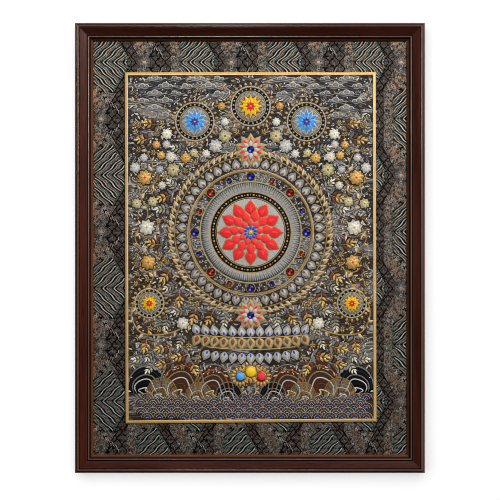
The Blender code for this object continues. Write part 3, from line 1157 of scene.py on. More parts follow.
def flat_map(mesh):
    """A front-on map of a flat piece's colours."""
    layer = mesh.uv_layers.new(name="OFBake")
    corners = np.empty(len(mesh.vertices) * 3, dtype=np.float32)
    mesh.vertices.foreach_get("co", corners)
    loops = np.empty(len(mesh.loops), dtype=np.int32)
    mesh.loops.foreach_get("vertex_index", loops)
    flat = corners.reshape(-1, 3)[loops][:, [0, 2]]
    flat = (flat - flat.min(axis=0)) / (np.ptp(flat, axis=0).max() * 1.001)
    layer.data.foreach_set("uv", flat.ravel())


def cloth_slab(name, corners, back, front, material, columns, rows):
    """A flat cloth with an even grid on both faces and a closed edge."""
    top_left, top_right, bottom_right, bottom_left = corners
    places = []
    for height in (front, back):
        for row in dashes(0.0, 1.0, rows + 1):
            left = top_left.lerp(bottom_left, row)
            right = top_right.lerp(bottom_right, row)
            spots = [left.lerp(right, column) for column in dashes(0.0, 1.0, columns + 1)]
            places += [(spot.x, -height, spot.y) for spot in spots]
    wide = columns + 1
    layer = wide * (rows + 1)
    starts = [first + wide * row + column
              for first in (0, layer) for row in range(rows) for column in range(columns)]
    faces = [(here, here + wide, here + wide + 1, here + 1) for here in starts]
    rim = [*range(columns), *range(columns, layer - 1, wide), *range(layer - 1, layer - wide, -1),
           *range(layer - wide, 0, -wide)]
    faces += [(a, b, b + layer, a + layer) for a, b in zip(rim, rim[1:] + rim[:1])]
    mesh = bpy.data.meshes.new(name)
    mesh.from_pydata(places, [], faces)
    face_outwards(mesh)
    mesh.materials.append(material)
    return add_object(name, mesh)


def dress_sheet(kind, parts):
    """Map the loose thread pieces of a cloth, count their triangles, and let them ride on the frame.
    """
    for piece in parts:
        flat_map(piece.data)
        piece.data.calc_loop_triangles()
        print(piece.name, len(piece.data.loop_triangles), "triangles")
        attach(piece, "root")
    print(len(parts), "pieces of thread on the", kind)


in_rabbet = RAIL_BACK + RABBET_CLEARANCE
mount_size = (FRAME_WIDTH - 2 * in_rabbet, FRAME_HEIGHT - 2 * in_rabbet)
mount = cloth_slab("brocade_ground", rectangle(frame_middle, *mount_size), BROCADE_BACK,
                   BROCADE_FRONT, brocade_ground_finish(), 24, 32)
floats = [run_tree("brocade_" + colour, thread.mesh("repeat_" + colour), half_drop_repeat, {
    "Columns": 6, "Rows": 6, "Wide": WIDE * UNIT, "High": HIGH * UNIT,
    "Start": (FIRST_APEX[0] - WIDE * UNIT, 0.0, FIRST_APEX[1] + HIGH * UNIT),
    "Middle": (0.0, 0.0, frame_middle.y),
    "Outside": (mount_size[0] / 2 - EDGE, 0.0, mount_size[1] / 2 - EDGE),
    "Inside": HIDDEN, "Material": brocade_finishes[colour]}) for colour, thread in brocade.items()]
dress_sheet("brocade", floats)
flat_map(mount.data)
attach(mount, "root")
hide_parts("brocade_mount")

# %% [markdown]
# ## Picture cloth
#
# The picture is worked on charcoal silk. Between its motifs the silk carries long drifting silver
# lines. They could be laid like the motifs, but they are finer than a stitch, so they are a finish:
# a stretched noise field is cut at many levels, and each cut draws one line. The cloth itself is a
# flat closed sheet that ends under the fillet.

# %% Charcoal silk with contour lines
def picture_ground_finish():
    """Charcoal silk with drifts of fine silver lines, paler in the sky and browner near the ground."""
    finish = Finish("picture_weave_dressed", Roughness=0.7, Specular_IOR_Level=0.15)
    place = finish.object_place()
    x, _, z = finish.parts(place)
    weave = finish.weave(x, z, 0.0009)
    long = finish.vectors("MULTIPLY", place, (0.34, 1.0, 1.0))
    line = finish.map(finish.math("SINE", finish.noise(long, 30.0, 1.5) * 170.0), 0.0, 0.9)
    sky = finish.map(z, -0.42, -0.20)
    misty = finish.map(finish.noise(long, 46.0, 2.0, Distortion=0.4), 0.50, 0.53)
    misty = misty * (sky * 0.10 + 0.60)
    line = line * (misty * 0.88 + 0.12)
    silk = finish.mix(sky, (0.024, 0.013, 0.008), (0.016, 0.0145, 0.019))
    silk = finish.mix(misty, silk, (0.115, 0.105, 0.096))
    colour = finish.mix(line, silk, (0.54, 0.50, 0.455))
    colour = finish.mix(weave * 0.15 + 0.15, colour, (0.008, 0.007, 0.009))
    return finish.paint(colour, weave + line, 0.00010, 0.5)


def inset(corners, distance):
    """Corners of the same outline, drawn in by a distance on every side."""
    moved = []
    for index, here in enumerate(corners):
        to_before = (corners[index - 1] - here).normalized()
        to_after = (corners[(index + 1) % 4] - here).normalized()
        reach = distance / sin(half_angle(corners, index))
        moved.append(here + (to_before + to_after).normalized() * reach)
    return moved


cloth_corners = inset(fillet_corners, FILLET_FOOT + GAP)
cloth_wide = (cloth_corners[1] - cloth_corners[0]).length
cloth_high = (cloth_corners[3] - cloth_corners[0]).length
cloth = cloth_slab("picture_ground", cloth_corners, PICTURE_BACK, PICTURE_FRONT,
                   picture_ground_finish(), 24, 34)
print("picture cloth", round(cloth_wide, 4), "by", round(cloth_high, 4))

# %% [markdown]
# ## Sewing motifs
#
# An embroiderer draws a motif once and repeats it. Copying its mesh by hand would be heavy to edit,
# so each motif is drawn once at the origin in millimetres, in as many thread colours as it needs.
# The "set_motifs" tree then copies it to a list of places, each with its own turn, size and tone.
# The picture's design is a general one of this craft: a bead-set medallion, lotus, peony, cloud,
# vine, hill and wave motifs, laid out afresh.

# %% Thread colours of the picture
picture_finishes = {
    "silver": thread_finish("silver_thread", (0.18, 0.172, 0.165), (0.68, 0.655, 0.61),
                            roughness=0.40),
    "pearl": thread_finish("pearl_thread", (0.36, 0.34, 0.27), (0.90, 0.86, 0.74), roughness=0.45),
    "gold": thread_finish("gold_thread", (0.30, 0.16, 0.035), (0.80, 0.51, 0.15), roughness=0.36,
                          metal=0.25),
    "palegold": thread_finish("pale_gold_thread", (0.24, 0.20, 0.10), (0.74, 0.66, 0.36),
                              roughness=0.40),
    "rust": thread_finish("rust_thread", (0.10, 0.026, 0.008), (0.40, 0.13, 0.035)),
    "red": thread_finish("red_thread", (0.58, 0.008, 0.010), (1.0, 0.052, 0.055), shine=0.1),
    "blue": thread_finish("blue_thread", (0.008, 0.020, 0.20), (0.035, 0.12, 0.75), roughness=0.45),
    "sky": thread_finish("sky_thread", (0.022, 0.16, 0.46), (0.10, 0.48, 0.95), roughness=0.45),
    "yellow": thread_finish("yellow_thread", (0.62, 0.32, 0.004), (1.0, 0.66, 0.02), roughness=0.45),
    "dark": thread_finish("dark_thread", (0.004, 0.004, 0.005), (0.022, 0.020, 0.024), shine=0.08),
}
sewn = {colour: [] for colour in picture_finishes}
print(len(picture_finishes), "thread colours")

# %% The tree that sets motifs
def motif_tree():
    """One motif copied to every given point, turned, sized and toned by the point's marks."""
    graph, given = geometry_graph("set_motifs", [("Motif", "Object", None)])
    motif = graph.wire("GeometryNodeObjectInfo", {"Object": given["Motif"]}, "Geometry")
    turn, size = [graph.wire("GeometryNodeInputNamedAttribute", {"Name": name}, data_type="FLOAT")
                  for name in ("turn", "size")]
    turned = graph.wire("FunctionNodeEulerToRotation", {0: graph.vector(0.0, turn * -1.0)})
    copies = graph.wire("GeometryNodeInstanceOnPoints",
                        {"Points": given["Geometry"], "Instance": motif, "Rotation": turned,
                         "Scale": graph.vector(size, 1.0, size)})
    return end_graph(graph, copies, given["Material"])


set_motifs = motif_tree()

# %% Motifs, and sewing them at their places
class Motif(dict):
    """A drawing in millimetres, in thread colours that start when they are first used."""

    def __missing__(self, colour):
        self[colour] = Thread(MM)
        return self[colour]

    def mirrored(self):
        """The same drawing turned over, left for right."""
        other = Motif()
        for colour, thread in self.items():
            other[colour].corners = [(-x, y, z) for x, y, z in thread.corners]
            other[colour].faces = [tuple(reversed(face)) for face in thread.faces]
            other[colour].stitch = list(thread.stitch)
        return other

    def petal(self, colour, length, width, point=0.5, rise=0.5, tint=0.5, rim=None, rim_width=0.7,
              x=0.0, z=0.0, turn=0.0, steps=4):
        """Add a raised petal that grows up from (x, z). A larger one in a second colour shows round
        it as an outline, the way a couched cord edges a satin-stitched petal."""
        if rim:
            back = placed([(0.0, -0.4 * rim_width)], x, z, turn)[0]
            outer = petal_outline(length + 1.6 * rim_width, width + 2 * rim_width, point, steps)
            self[rim].patch(placed(outer, *back, turn), rise * 0.6, 0.5, turn, edge=0.04)
        outline = petal_outline(length, width, point, steps)
        self[colour].patch(placed(outline, x, z, turn), rise, tint, turn)
        return self


def marked_points(places, **marks):
    """A mesh of loose points that keep values under names."""
    points = bpy.data.meshes.new("places")
    points.from_pydata(places, [], [])
    for name, values in marks.items():
        points.attributes.new(name, "FLOAT", "POINT").data.foreach_set("value", values)
    return points


def sew(motif, places, lift=0.0):
    """Copy a motif to places (x, z, turn, size, tone), in millimetres from the picture's middle."""
    if not places:
        return
    x, z, turn, size, tone = np.array(places, dtype=np.float32).T
    corners = np.stack([picture_middle.x + x * MM, np.full_like(x, -PICTURE_FRONT - lift * MM),
                        picture_middle.y + z * MM], axis=1)
    points = marked_points(corners.tolist(), turn=np.radians(turn), size=size, tone=tone)
    for colour, thread in motif.items():
        drawing = bpy.data.objects.new("drawing", thread.mesh("drawing"))
        sewn[colour].append(run_tree("copies", points, set_motifs,
                                     {"Motif": drawing, "Material": picture_finishes[colour]}))
        bpy.data.objects.remove(drawing)


def sew_pair(motif, places, lift=0.0):
    """The same on both sides of the picture, the left one turned over."""
    sew(motif, places, lift)
    sew(motif.mirrored(), [(-x, z, -turn, size, tone) for x, z, turn, size, tone in places], lift)


def sew_kinds(motifs, places, kind):
    """Several kinds of one motif, each at its own places, on both sides."""
    for motif, spots in zip(motifs, places):
        sew_pair(motif, spots)
    print(2 * sum(len(spots) for spots in places), kind)


def at(x, z, size=1.0, turn=0.0):
    """A single place."""
    return [(x, z, turn, size, 0.0)]


def out_from(middle, radius, angle):
    """The point at a radius and an angle in degrees from a middle."""
    return middle[0] + radius * cos(radians(angle)), middle[1] + radius * sin(radians(angle))


def sew_ring(motif, middle, radius, count, start=90.0, lift=0.0, tone=0.0):
    """Copies round a circle, clockwise. A motif that grows up points outwards."""
    turns = [start - 360 * index / count for index in range(count)]
    sew(motif, [(*out_from(middle, radius, turn), turn - 90.0, 1.0, tone) for turn in turns], lift)


print("sewing is ready")

# %% [markdown]
# ## A small library of motifs
#
# Leaves, curls, studs, cords and two flowers are enough for almost everything in the picture. Each
# is a function, so that one drawing can serve in many sizes and colours. The places that are taken
# are claimed as circles, and free says whether a new motif would still find room.

# %% Leaves, curls and studs
def leaf(light, dark, rib, length, width, bend):
    """A leaf of two satin-stitched halves with a couched rib, growing up from the origin."""
    motif = Motif()
    parts = dashes(0.0, 1.0, 6)
    spine = [(bend * sin(pi * part) * part, length * part) for part in parts]
    for side, colour, tint in ((-1, light, 0.75), (1, dark, 0.45)):
        edge = [(x + side * width / 2 * sin(pi * part ** 0.75), up)
                for (x, up), part in zip(spine, parts)]
        motif[colour].patch(spine + edge[-2:0:-1], 0.42, tint, 35 * side)
    motif[rib].line(spine, [0.9] * 5 + [0.3], 0.55, 0.6)
    return motif


def spiral(turns, outer, inner, start, steps):
    """A path that winds inwards round the origin."""
    path = []
    for part in dashes(0.0, 1.0, steps):
        path.append(out_from((0.0, 0.0), outer * (inner / outer) ** part, start + 360 * turns * part))
    return path


def curl(colour, size, width):
    """A tapered spiral of couched cord."""
    motif = Motif()
    widths = [width * (0.45 + 0.55 * sin(pi * part ** 0.6)) for part in dashes(0.02, 0.98, 16)]
    motif[colour].line(spiral(1.15, size, size * 0.16, -90.0, 16), widths, 0.4, 0.6)
    return motif


def stud(colour, radius, rise, around=9):
    """A little round boss."""
    motif = Motif()
    motif[colour].patch(ring(radius, around), rise, 0.8, edge=0.3)
    return motif


claimed = []


def claim(x, z, radius):
    claimed.append((x, z, radius))


def claim_pair(x, z, radius):
    claim(x, z, radius)
    claim(-x, z, radius)


def free(x, z, radius):
    """Whether a round place is clear of everything that is already sewn."""
    return all(hypot(x - cx, z - cz) > radius + other for cx, cz, other in claimed)


print("small motifs are ready")

# %% Flowers, cords and rounds
def peony(colour, heart, radius=13.0):
    """An open flower of folded rings of round petals."""
    motif = Motif()
    for level, (reach, count) in enumerate(((radius, 8), (0.74 * radius, 7), (0.46 * radius, 5))):
        for index in range(count):
            motif.petal(colour, reach, reach * 0.78, 0.0, 0.55 + 0.30 * level,
                        0.42 + 0.20 * level + 0.10 * (index % 2), "dark", 0.07 * radius,
                        turn=360 * (index + 0.5 * level) / count)
    motif[heart].patch(ring(0.17 * radius, 8), 1.45, 0.8)
    return motif


def lotus(radius, colour, rim, petals=12, levels=2):
    """A lotus seen from above: pointed petals in rings round a gold seed boss."""
    motif = Motif()
    for level in range(levels):
        reach = radius * (1.0 - 0.32 * level)
        for index in range(petals):
            motif.petal(colour, reach, 3.9 * reach / petals, 0.9, 0.6 + 0.35 * level,
                        0.45 + 0.22 * level + 0.12 * (index % 2), rim, 0.045 * radius,
                        turn=360 * (index + 0.5 * level) / petals)
    motif["gold"].patch(ring(0.2 * radius, 10), 1.4, 0.9)
    return motif


def straight(colour, path, widths, rise, tint):
    """A motif of one line of cord."""
    motif = Motif()
    motif[colour].line(path, widths, rise, tint)
    return motif


def circle_cord(middle, radius, colour, width, rise, steps=96):
    """A couched cord laid round a circle."""
    sew(straight(colour, arc(radius, 0, 360, steps), width, rise, 0.6), at(*middle))


def rope(middle, radius, count, colour, width, tone=0.0):
    """A twisted cord round a circle: one short slanting strand, many times."""
    pitch = 2 * pi * radius / count
    strand = [(-pitch * 0.72, -width / 2), (-pitch * 0.2, -width * 0.22),
              (pitch * 0.2, width * 0.22), (pitch * 0.72, width / 2)]
    motif = straight(colour, strand, [0.4, pitch * 0.72, pitch * 0.72, 0.4], 0.75, 0.65)
    sew_ring(motif, middle, radius, count, tone=tone)


def round_ground(middle, radius, colour, tint, rise, corners=72):
    """A flat round of laid thread under other work."""
    motif = Motif()
    motif[colour].patch(ring(radius, corners), rise, tint, edge=0.02)
    sew(motif, at(*middle))


print("flowers and cords are ready")

# %% [markdown]
# ## The medallion
#
# Glass beads sit in a ring in the middle of the picture. The medallion round them is built from the
# centre out: a blue and gold heart, a red lotus, a dark ring with studs, fine silver rays, the bead
# band between two ropes, and a border of lotus petals inside a wreath. Each ring is one motif set
# many times, which is how it would be worked by hand. A petal's numbers are its length, width,
# point, rise and tint, and then its outline's colour and width.

# %% Heart, lotus and rays
hub = (0.0, 30.0)

for step, tint in enumerate((0.16, 0.30, 0.44, 0.56)):
    round_ground(hub, 98.0 - 4.0 * step, "silver", tint, 0.06 + 0.02 * step)
round_ground(hub, 81.5, "dark", 0.3, 0.15)
round_ground(hub, 69.0, "silver", 0.62, 0.19)
flower = Motif().petal("red", 33.0, 23.5, 0.6, 1.0, 0.62, "gold", 0.9, steps=6)
flower.petal("red", 18.0, 7.0, 0.8, 1.3, 0.95, "rust", 0.5, z=5.0)
sew_ring(flower, hub, 33.5, 12, lift=0.15)
flower = Motif().petal("red", 27.0, 17.5, 0.6, 1.3, 0.78, "gold", 0.8, steps=6)
sew_ring(flower, hub, 20.0, 11, 75.0, lift=0.3)
flower = Motif().petal("red", 17.0, 12.0, 0.5, 1.5, 0.95, "gold", 0.7)
sew_ring(flower, hub, 11.0, 9, lift=0.5)
flower = Motif().petal("blue", 9.5, 6.0, 0.5, 1.8, 0.8, "palegold", 0.5)
sew_ring(flower, hub, 6.0, 10, lift=0.7)
sew(stud("gold", 5.8, 2.6, 20), at(*hub))
sew_ring(stud("gold", 1.0, 0.8), hub, 3.8, 8, lift=2.1)
circle_cord(hub, 69.8, "gold", 1.8, 0.9)
circle_cord(hub, 80.8, "gold", 1.6, 0.8)
sew_ring(stud("gold", 2.1, 1.2), hub, 75.3, 40, 85.5)
sew_ring(stud("silver", 1.0, 0.8), hub, 75.3, 40)
ray = straight("silver", [(0, 0), (0.4, 6), (-0.4, 12), (0, 17.0)], [1.4, 2.2, 2.2, 1.0], 0.45, 0.62)
sew_ring(ray, hub, 82.0, 136)
ray = straight("pearl", [(0, 0), (0, 6), (0, 12)], [0.6, 1.3, 0.4], 0.6, 0.4)
sew_ring(ray, hub, 82.5, 68, 90 - 180 / 136)
print("rays sewn")

# %% Bead band, petal border and wreath
circle_cord(hub, 99.6, "dark", 1.6, 0.3)
rope(hub, 101.3, 150, "palegold", 2.2)
rope(hub, 123.6, 170, "gold", 2.6)
circle_cord(hub, 126.3, "pearl", 1.3, 0.6, 120)
band_curl = curl("silver", 4.6, 1.6)
sew_ring(band_curl, hub, 107.6, 48, 86.2, tone=0.1)
sew_ring(band_curl.mirrored(), hub, 116.6, 48, 82.4, tone=-0.05)
sew_ring(stud("pearl", 1.3, 0.8), hub, 112.0, 64, 90 - 180 / 64)
border = Motif().petal("silver", 24.0, 19.5, 0.35, 0.6, 0.35, "dark", 0.9, steps=6)
border.petal("pearl", 17.0, 12.0, 0.4, 0.85, 0.45, "gold", 0.8, z=1.0, steps=5)
border.petal("rust", 9.0, 5.5, 0.5, 1.1, 0.6, z=1.5)
sew_ring(border, hub, 127.2, 44, 90 - 180 / 44)
sew_ring(Motif().petal("gold", 9.0, 5.0, 0.8, 0.5, 0.6, "dark", 0.6), hub, 143.0, 44)
wreath = [(leaf("palegold", "silver", "gold", 15.0, 7.0, 2.4), 154.0, -52.0, 84.0),
          (leaf("gold", "rust", "palegold", 13.0, 6.0, 2.0), 160.0, -20.0, 86.3)]
for motif, radius, slant, start in wreath:
    turns = [start - 4.6 * index for index in range(38)]
    sew_pair(motif, [(*out_from(hub, radius, turn), turn + slant, 1.0, 0.1 * (index % 3 - 1))
                     for index, turn in enumerate(turns) if turn >= -84])
sew_pair(straight("gold", arc(152.5, -86, 86, 70), 2.0, 0.6, 0.5), at(*hub))
claim(*hub, 170.0)
print("band, border and wreath sewn")

# %% Flowers for the beads above and below the medallion
for z in (196.0, -136.0):
    crown = Motif().petal("palegold", 27.0, 15.0, 0.8, 0.8, 0.5, "gold", 1.0, steps=6)
    crown.petal("red", 15.0, 6.5, 0.8, 1.1, 0.7, "rust", 0.5, z=5.0)
    sew_ring(crown, (0.0, z), 6.0, 10, lift=0.3)
    crown = Motif().petal("pearl", 15.0, 9.0, 0.6, 1.3, 0.55, "gold", 0.7)
    sew_ring(crown, (0.0, z), 5.0, 8, lift=0.5)
    claim(0.0, z, 34.0)
print("medallion is", sum(len(pieces) for pieces in sewn.values()), "runs of copies")

# %% [markdown]
# ## Round flowers and the lotus seat
#
# A yellow lotus round stands over the large medallion with a blue one at each side of it, and two
# yellow ones hang low at the picture's edges. Under the medallion lies a seat of lotus petals, in
# three rows that bow a little, with two cords along it and three jewels below.

# %% Lotus rounds
def lotus_round(x, z, colour, second, rim, size):
    """A lotus on silver rays in a dark studded ring with a rope round it."""
    place = (x, z)
    round_ground(place, 37 * size, "dark", 0.3, 0.10, 48)
    round_ground(place, 28.4 * size, "silver", 0.25, 0.16, 40)
    beam = straight("silver", [(0, 0), (0, 6 * size), (0, 12 * size)], [0.8, 1.7, 1.0], 0.45, 0.6)
    sew_ring(beam, place, 16.0 * size, round(58 * size))
    sew(lotus(25.5 * size, colour, rim), at(x, z), lift=0.2)
    sew(lotus(10.0 * size, second, "gold", 8, 1), at(x, z), lift=1.3)
    circle_cord(place, 29.0 * size, "palegold", 1.5, 0.8, 60)
    sew_ring(stud("gold", 1.9, 1.2), place, 32.8 * size, round(24 * size))
    rope(place, 37.0 * size, round(64 * size), "silver", 2.4, 0.1)
    flame = Motif().petal("gold", 9.0, 6.0, 0.9, 0.5, 0.5, "dark", 0.6)
    sew_ring(flame, place, 38.8 * size, round(26 * size))
    claim(x, z, 37 * size + 11)


lotus_round(0.0, 283.0, "yellow", "red", "rust", 1.05)
for side in (1, -1):
    lotus_round(112.0 * side, 252.0, "sky", "blue", "pearl", 1.03)
    lotus_round(203.0 * side, -112.0, "yellow", "red", "rust", 0.78)
print(len(claimed), "places claimed with the rounds")

# %% Lotus seat and three jewels
JEWELS = [(0.0, -250.0, "yellow", 1.25), (-21.0, -259.0, "sky", 1.0), (21.0, -259.0, "red", 1.0)]

seat = Motif().petal("silver", 26.0, 19.0, 0.45, 0.8, 0.5, "dark", 1.0, steps=6)
seat.petal("pearl", 18.0, 11.0, 0.5, 1.1, 0.5, "gold", 0.8, z=2.0, steps=5)
seat.petal("blue", 9.5, 4.8, 0.6, 1.35, 0.6, z=2.5)
lower = Motif().petal("palegold", 25.0, 18.0, 0.45, 0.8, 0.5, "gold", 1.0, steps=6)
lower.petal("rust", 16.0, 9.5, 0.5, 1.1, 0.6, "palegold", 0.6, z=2.0, steps=5)
for motif, z, spread, count, flip, lean, lift in ((seat, -181.0, 104.0, 13, 0.0, -26.0, 0.3),
                                                  (lower, -181.0, 104.0, 13, 180.0, 26.0, 0.3),
                                                  (seat, -210.0, 84.0, 11, 180.0, 26.0, 0.1)):
    sew(motif, [(part * spread, z + 6.0 * part ** 2, flip + lean * part, 1.0, 0.08 * (1 - abs(part)))
                for part in dashes(-1.0, 1.0, count)], lift=lift)
for z, half in ((-181.0, 112.0), (-205.0, 90.0)):
    path = [(half * part, z + 6.0 * part ** 2) for part in dashes(-1.0, 1.0, 30)]
    sew(straight("gold", path, 3.0, 1.9, 0.7), at(0.0, 0.0))
for x in range(-100, 101, 20):
    claim(x, -182.0 + 6 * (x / 104) ** 2, 24.0)
for x in range(-80, 81, 20):
    claim(x, -218.0, 18.0)
for x, z, colour, size in JEWELS:
    sew(stud("pearl", 10.6 * size, 0.5, 26), at(x, z))
    sew(stud(colour, 9.4 * size, 3.6, 26), at(x, z), lift=0.2)
    flame = Motif().petal("gold", 12.0, 6.5, 0.9, 0.6, 0.6, "rust", 0.8)
    sew_ring(flame, (x, z), 9.6 * size, 14)
    claim(x, z, 20.0 * size)
print(len(claimed), "places claimed")

# %% [markdown]
# ## Vines, peonies, clouds and curls
#
# Two vines climb the sides. Peonies are scattered over the upper part, each where it finds room, and
# the smaller motifs then fill what is left: clouds in the sky, leaves, curls and berries everywhere.
# Every place could be typed in, but a random draw with a fixed seed gives the same lively scatter on
# each run, and free keeps every new motif off the ones before it.

# %% Vines
VINE = [(120, -150), (150, -168), (190, -176), (226, -166), (238, -120), (196, -62), (206, -20),
        (232, 20), (206, 66), (222, 112), (196, 158), (214, 204)]
BRANCHES = [(205.0, -30.0, 200.0), (208.0, 40.0, 190.0), (212.0, 140.0, 190.0)]


def vine_path(points, steps):
    """A smooth path through points."""
    path = []
    last = len(points) - 1
    for along in dashes(0.0, last, steps):
        index = min(int(along), last - 1)
        t = along - index
        a, b, c, d = [Vector(points[max(0, min(last, index + k))]) for k in (-1, 0, 1, 2)]
        path.append(tuple(0.5 * (2 * b + (c - a) * t + (2 * a - 5 * b + 4 * c - d) * t ** 2
                                 + (3 * b - a - 3 * c + d) * t ** 3)))
    return path


def sew_vine(path, width, stem, light, dark, every):
    """A vine on both sides, with leaves in turn to its left and right."""
    widths = [part * width for part in dashes(1.0, 0.3, len(path))]
    sew_pair(straight(stem, path, widths, 0.6, 0.5), at(0.0, 0.0))
    places = []
    for number, index in enumerate(range(2, len(path) - 1, every)):
        x, z = path[index]
        run = Vector(path[index + 1]) - Vector(path[index - 1])
        slant = 52 if number % 2 else -52
        places.append((x, z, degrees(atan2(run.y, run.x)) - 90 + slant, 0.8 + 0.2 * (index % 3),
                       0.06 * (index % 3)))
        claim_pair(x, z, 5.0)
    sew_pair(leaf(light, dark, stem, 12.0, 6.0, 1.6), places)


sew_vine(vine_path(VINE, 110), 4.4, "gold", "palegold", "silver", 4)
for x, z, start in BRANCHES:
    sew_vine(placed(spiral(1.35, 24.0, 7.0, start, 34), x, z), 2.8, "gold", "silver", "rust", 5)
print(len(claimed), "places claimed with the vines")

# %% Peonies
ON_VINES = [(205.0, -30.0, 2, 1.3), (208.0, 40.0, 0, 1.35), (212.0, 140.0, 2, 1.3),
            (136.0, -152.0, 0, 1.1), (228.0, 88.0, 1, 0.9), (196.0, 92.0, 1, 0.9)]
PEONY_TRIES = 1500

peonies = [peony("pearl", "gold"), peony("palegold", "rust"), peony("gold", "red"),
           peony("silver", "gold")]
for x, z, kind, size in ON_VINES:
    sew_pair(peonies[kind], at(x, z, size, 12.0), lift=0.3)
    claim_pair(x, z, 13.0 * size)
places = [[] for _ in peonies]
for _ in range(PEONY_TRIES):
    x = chance.uniform(4, 234)
    z = chance.uniform(120, 330)
    size = chance.choice([0.75, 0.95, 1.2])
    if abs(hypot(x, z - 30) - 222) > 46 or not free(x, z, 11.2 * size):
        continue
    kind = int(chance.choice(4, p=[0.28, 0.32, 0.26, 0.14]))
    places[kind].append((x, z, chance.uniform(0, 72), size, chance.uniform(-0.1, 0.1)))
    claim_pair(x, z, 11.2 * size)
sew_kinds(peonies, places, "peonies above")

# %% Leafy twigs
def twig(length, colours):
    """Pointed leaves in pairs up a stem, darkest at its foot and brightest at its tip."""
    foot = -length / 2
    motif = straight("palegold", [(0.0, foot), (0.05 * length, 0.0), (0.0, -foot)],
                     [1.5, 1.2, 0.5], 0.40, 0.4)
    for step, colour in enumerate(colours):
        reach = length * (0.50 - 0.05 * step)
        for side in (-1, 1):
            motif.petal(colour, reach, reach * 0.40, 0.8, 0.34 + 0.10 * step, 0.22 + 0.16 * step,
                        "dark", x=0.04 * length, z=foot + length * (0.06 + 0.21 * step),
                        turn=side * (62 - 7 * step))
    return motif.petal(colours[-1], length * 0.36, length * 0.15, 0.8, 0.8, 0.85, "dark",
                       z=foot + length * 0.80)


twigs = [twig(36.0, ("silver", "rust", "gold", "gold")),
         twig(30.0, ("silver", "silver", "palegold", "pearl")),
         twig(19.0, ("rust", "palegold", "gold"))]
places = [[] for _ in twigs]
for kind, (reach, tries) in enumerate(((16.0, 700), (13.5, 900), (8.6, 1600))):
    for _ in range(tries):
        x = chance.uniform(8, 240 - reach)
        z = chance.uniform(-240, 250)
        if not free(x, z, reach * 0.80):
            continue
        outwards = degrees(atan2(z - 30, x)) - 90
        places[kind].append((x, z, outwards + chance.uniform(-50, 50), 1.0,
                             chance.uniform(-0.1, 0.1)))
        claim_pair(x, z, reach * 0.80)
sew_kinds(twigs, places, "leaf sprays")

# %% Hills and waves
HILLS = [(0, 74.0, -300.0, 1.25, 0.0), (1, 208.0, -292.0, 1.35, 0.0), (0, 138.0, -300.0, 1.45, 0.0),
         (2, 178.0, -302.0, 1.2, 0.02), (2, 104.0, -306.0, 1.05, 0.02), (1, 44.0, -308.0, 0.95, 0.02)]
WAVE_CORDS = [(12.0, "pearl", 0.3), (9.3, "rust", 0.5), (7.0, "silver", 0.5), (4.6, "blue", 0.5),
              (2.4, "palegold", 0.6)]


def hill(wide, tall, colours, fill):
    """Nested arches of couched cord over laid thread, growing up from the origin."""
    motif = Motif()
    arch = [(wide / 2 * cos(turn), tall * sin(turn) ** 0.8) for turn in dashes(0.0, pi, 15)]
    motif[fill].patch(arch, 0.13, 0.08, middle=(0.0, tall * 0.35), edge=0.03)
    for stripe in range(6):
        reach = 1 - 0.16 * stripe
        path = [(x * reach + 1.5 * stripe * sin(3 * z / tall), z * reach) for x, z in arch]
        motif[colours[stripe % 3]].line(path, [0.6] + [2.3] * 13 + [0.6], 0.24,
                                        0.35 + 0.5 * (stripe % 2), low=0.10)
    return motif


hills = [hill(64.0, 52.0, ("silver", "rust", "palegold"), "rust"),
         hill(58.0, 40.0, ("silver", "dark", "silver"), "dark"),
         hill(52.0, 34.0, ("gold", "rust", "silver"), "palegold")]
for kind, x, z, size, lift in HILLS:
    sew_pair(hills[kind], at(x, z, size), lift=lift)
    claim_pair(x, z + 14 * size, 24 * size)
wave = Motif()
wave["dark"].patch(arc(13.0, 0, 180, 12), 0.12, 0.4, middle=(0.0, 4.0), edge=0.03)
for radius, colour, tint in WAVE_CORDS:
    wave[colour].line(arc(radius, 0, 180, 11), 1.6, 0.22, tint, low=0.08)
for row in range(5):
    shift = 0.0 if row % 2 else 12.2
    sew(wave, [(x + shift, -304.0 - 9.6 * row, 0.0, 1.0, 0.1 * (row % 2))
               for x in np.arange(-219.6, 225.0, 24.4) if abs(x + shift) < 233], lift=0.012 * row)
print("hills and waves sewn")

# %% Clouds
OPEN = (degrees(-0.5), degrees(pi + 0.5))


def cloud(lobes, long):
    """A drifting cloud: round silver lobes edged with cord over two long tails."""
    motif = Motif()
    for tail, (reach, drop) in enumerate(((long, 0.0), (0.70 * long, -3.6))):
        path = [(reach * part + 4 * tail, drop + 1.2 * sin(5 * part + tail))
                for part in dashes(-1, 1, 9)]
        motif["silver"].line(path, [0.4, 1.6, 2.6, 3.3, 3.6, 3.3, 2.6, 1.6, 0.4], 0.22,
                             0.52 - 0.12 * tail)
    for x, z, radius in lobes:
        lobe = arc(radius, *OPEN, 9, x, z, 0.8)
        motif["silver"].patch(lobe, 0.30, 0.42, edge=0.05)
        motif["pearl"].line(lobe, [0.4] + [1.4] * 7 + [0.4], 0.45, 0.6)
        motif["dark"].line(arc(radius * 0.5, *OPEN, 7, x, z, 0.84), 1.0, 0.42, 0.4, low=0.2)
    return motif


clouds = [cloud(((-9.5, 0.6, 4.8), (9.8, 0.6, 5.0), (0.0, 3.4, 6.6)), 25.0),
          cloud(((-5.2, 0.6, 4.4), (3.6, 1.8, 5.8)), 18.0)]
places = [[] for _ in clouds]
for row in range(32):
    z = 337.0 - 14.8 * row
    for column in range(6):
        x = 20.0 + 43.0 * column + (21.5 if row % 2 else 0.0)
        if x > 222 or z < -150 or not free(x, z, 8.0):
            continue
        places[(row + column) % 2].append((x, z, 0.0, 1.0, 0.05 * (column % 3 - 1)))
        for along in (-11.0, 0.0, 11.0):
            claim_pair(x + along, z, 6.5)
sew_kinds(clouds, places, "clouds")

# %% Small leaves, curls and berries
FILLER_TRIES = 9000

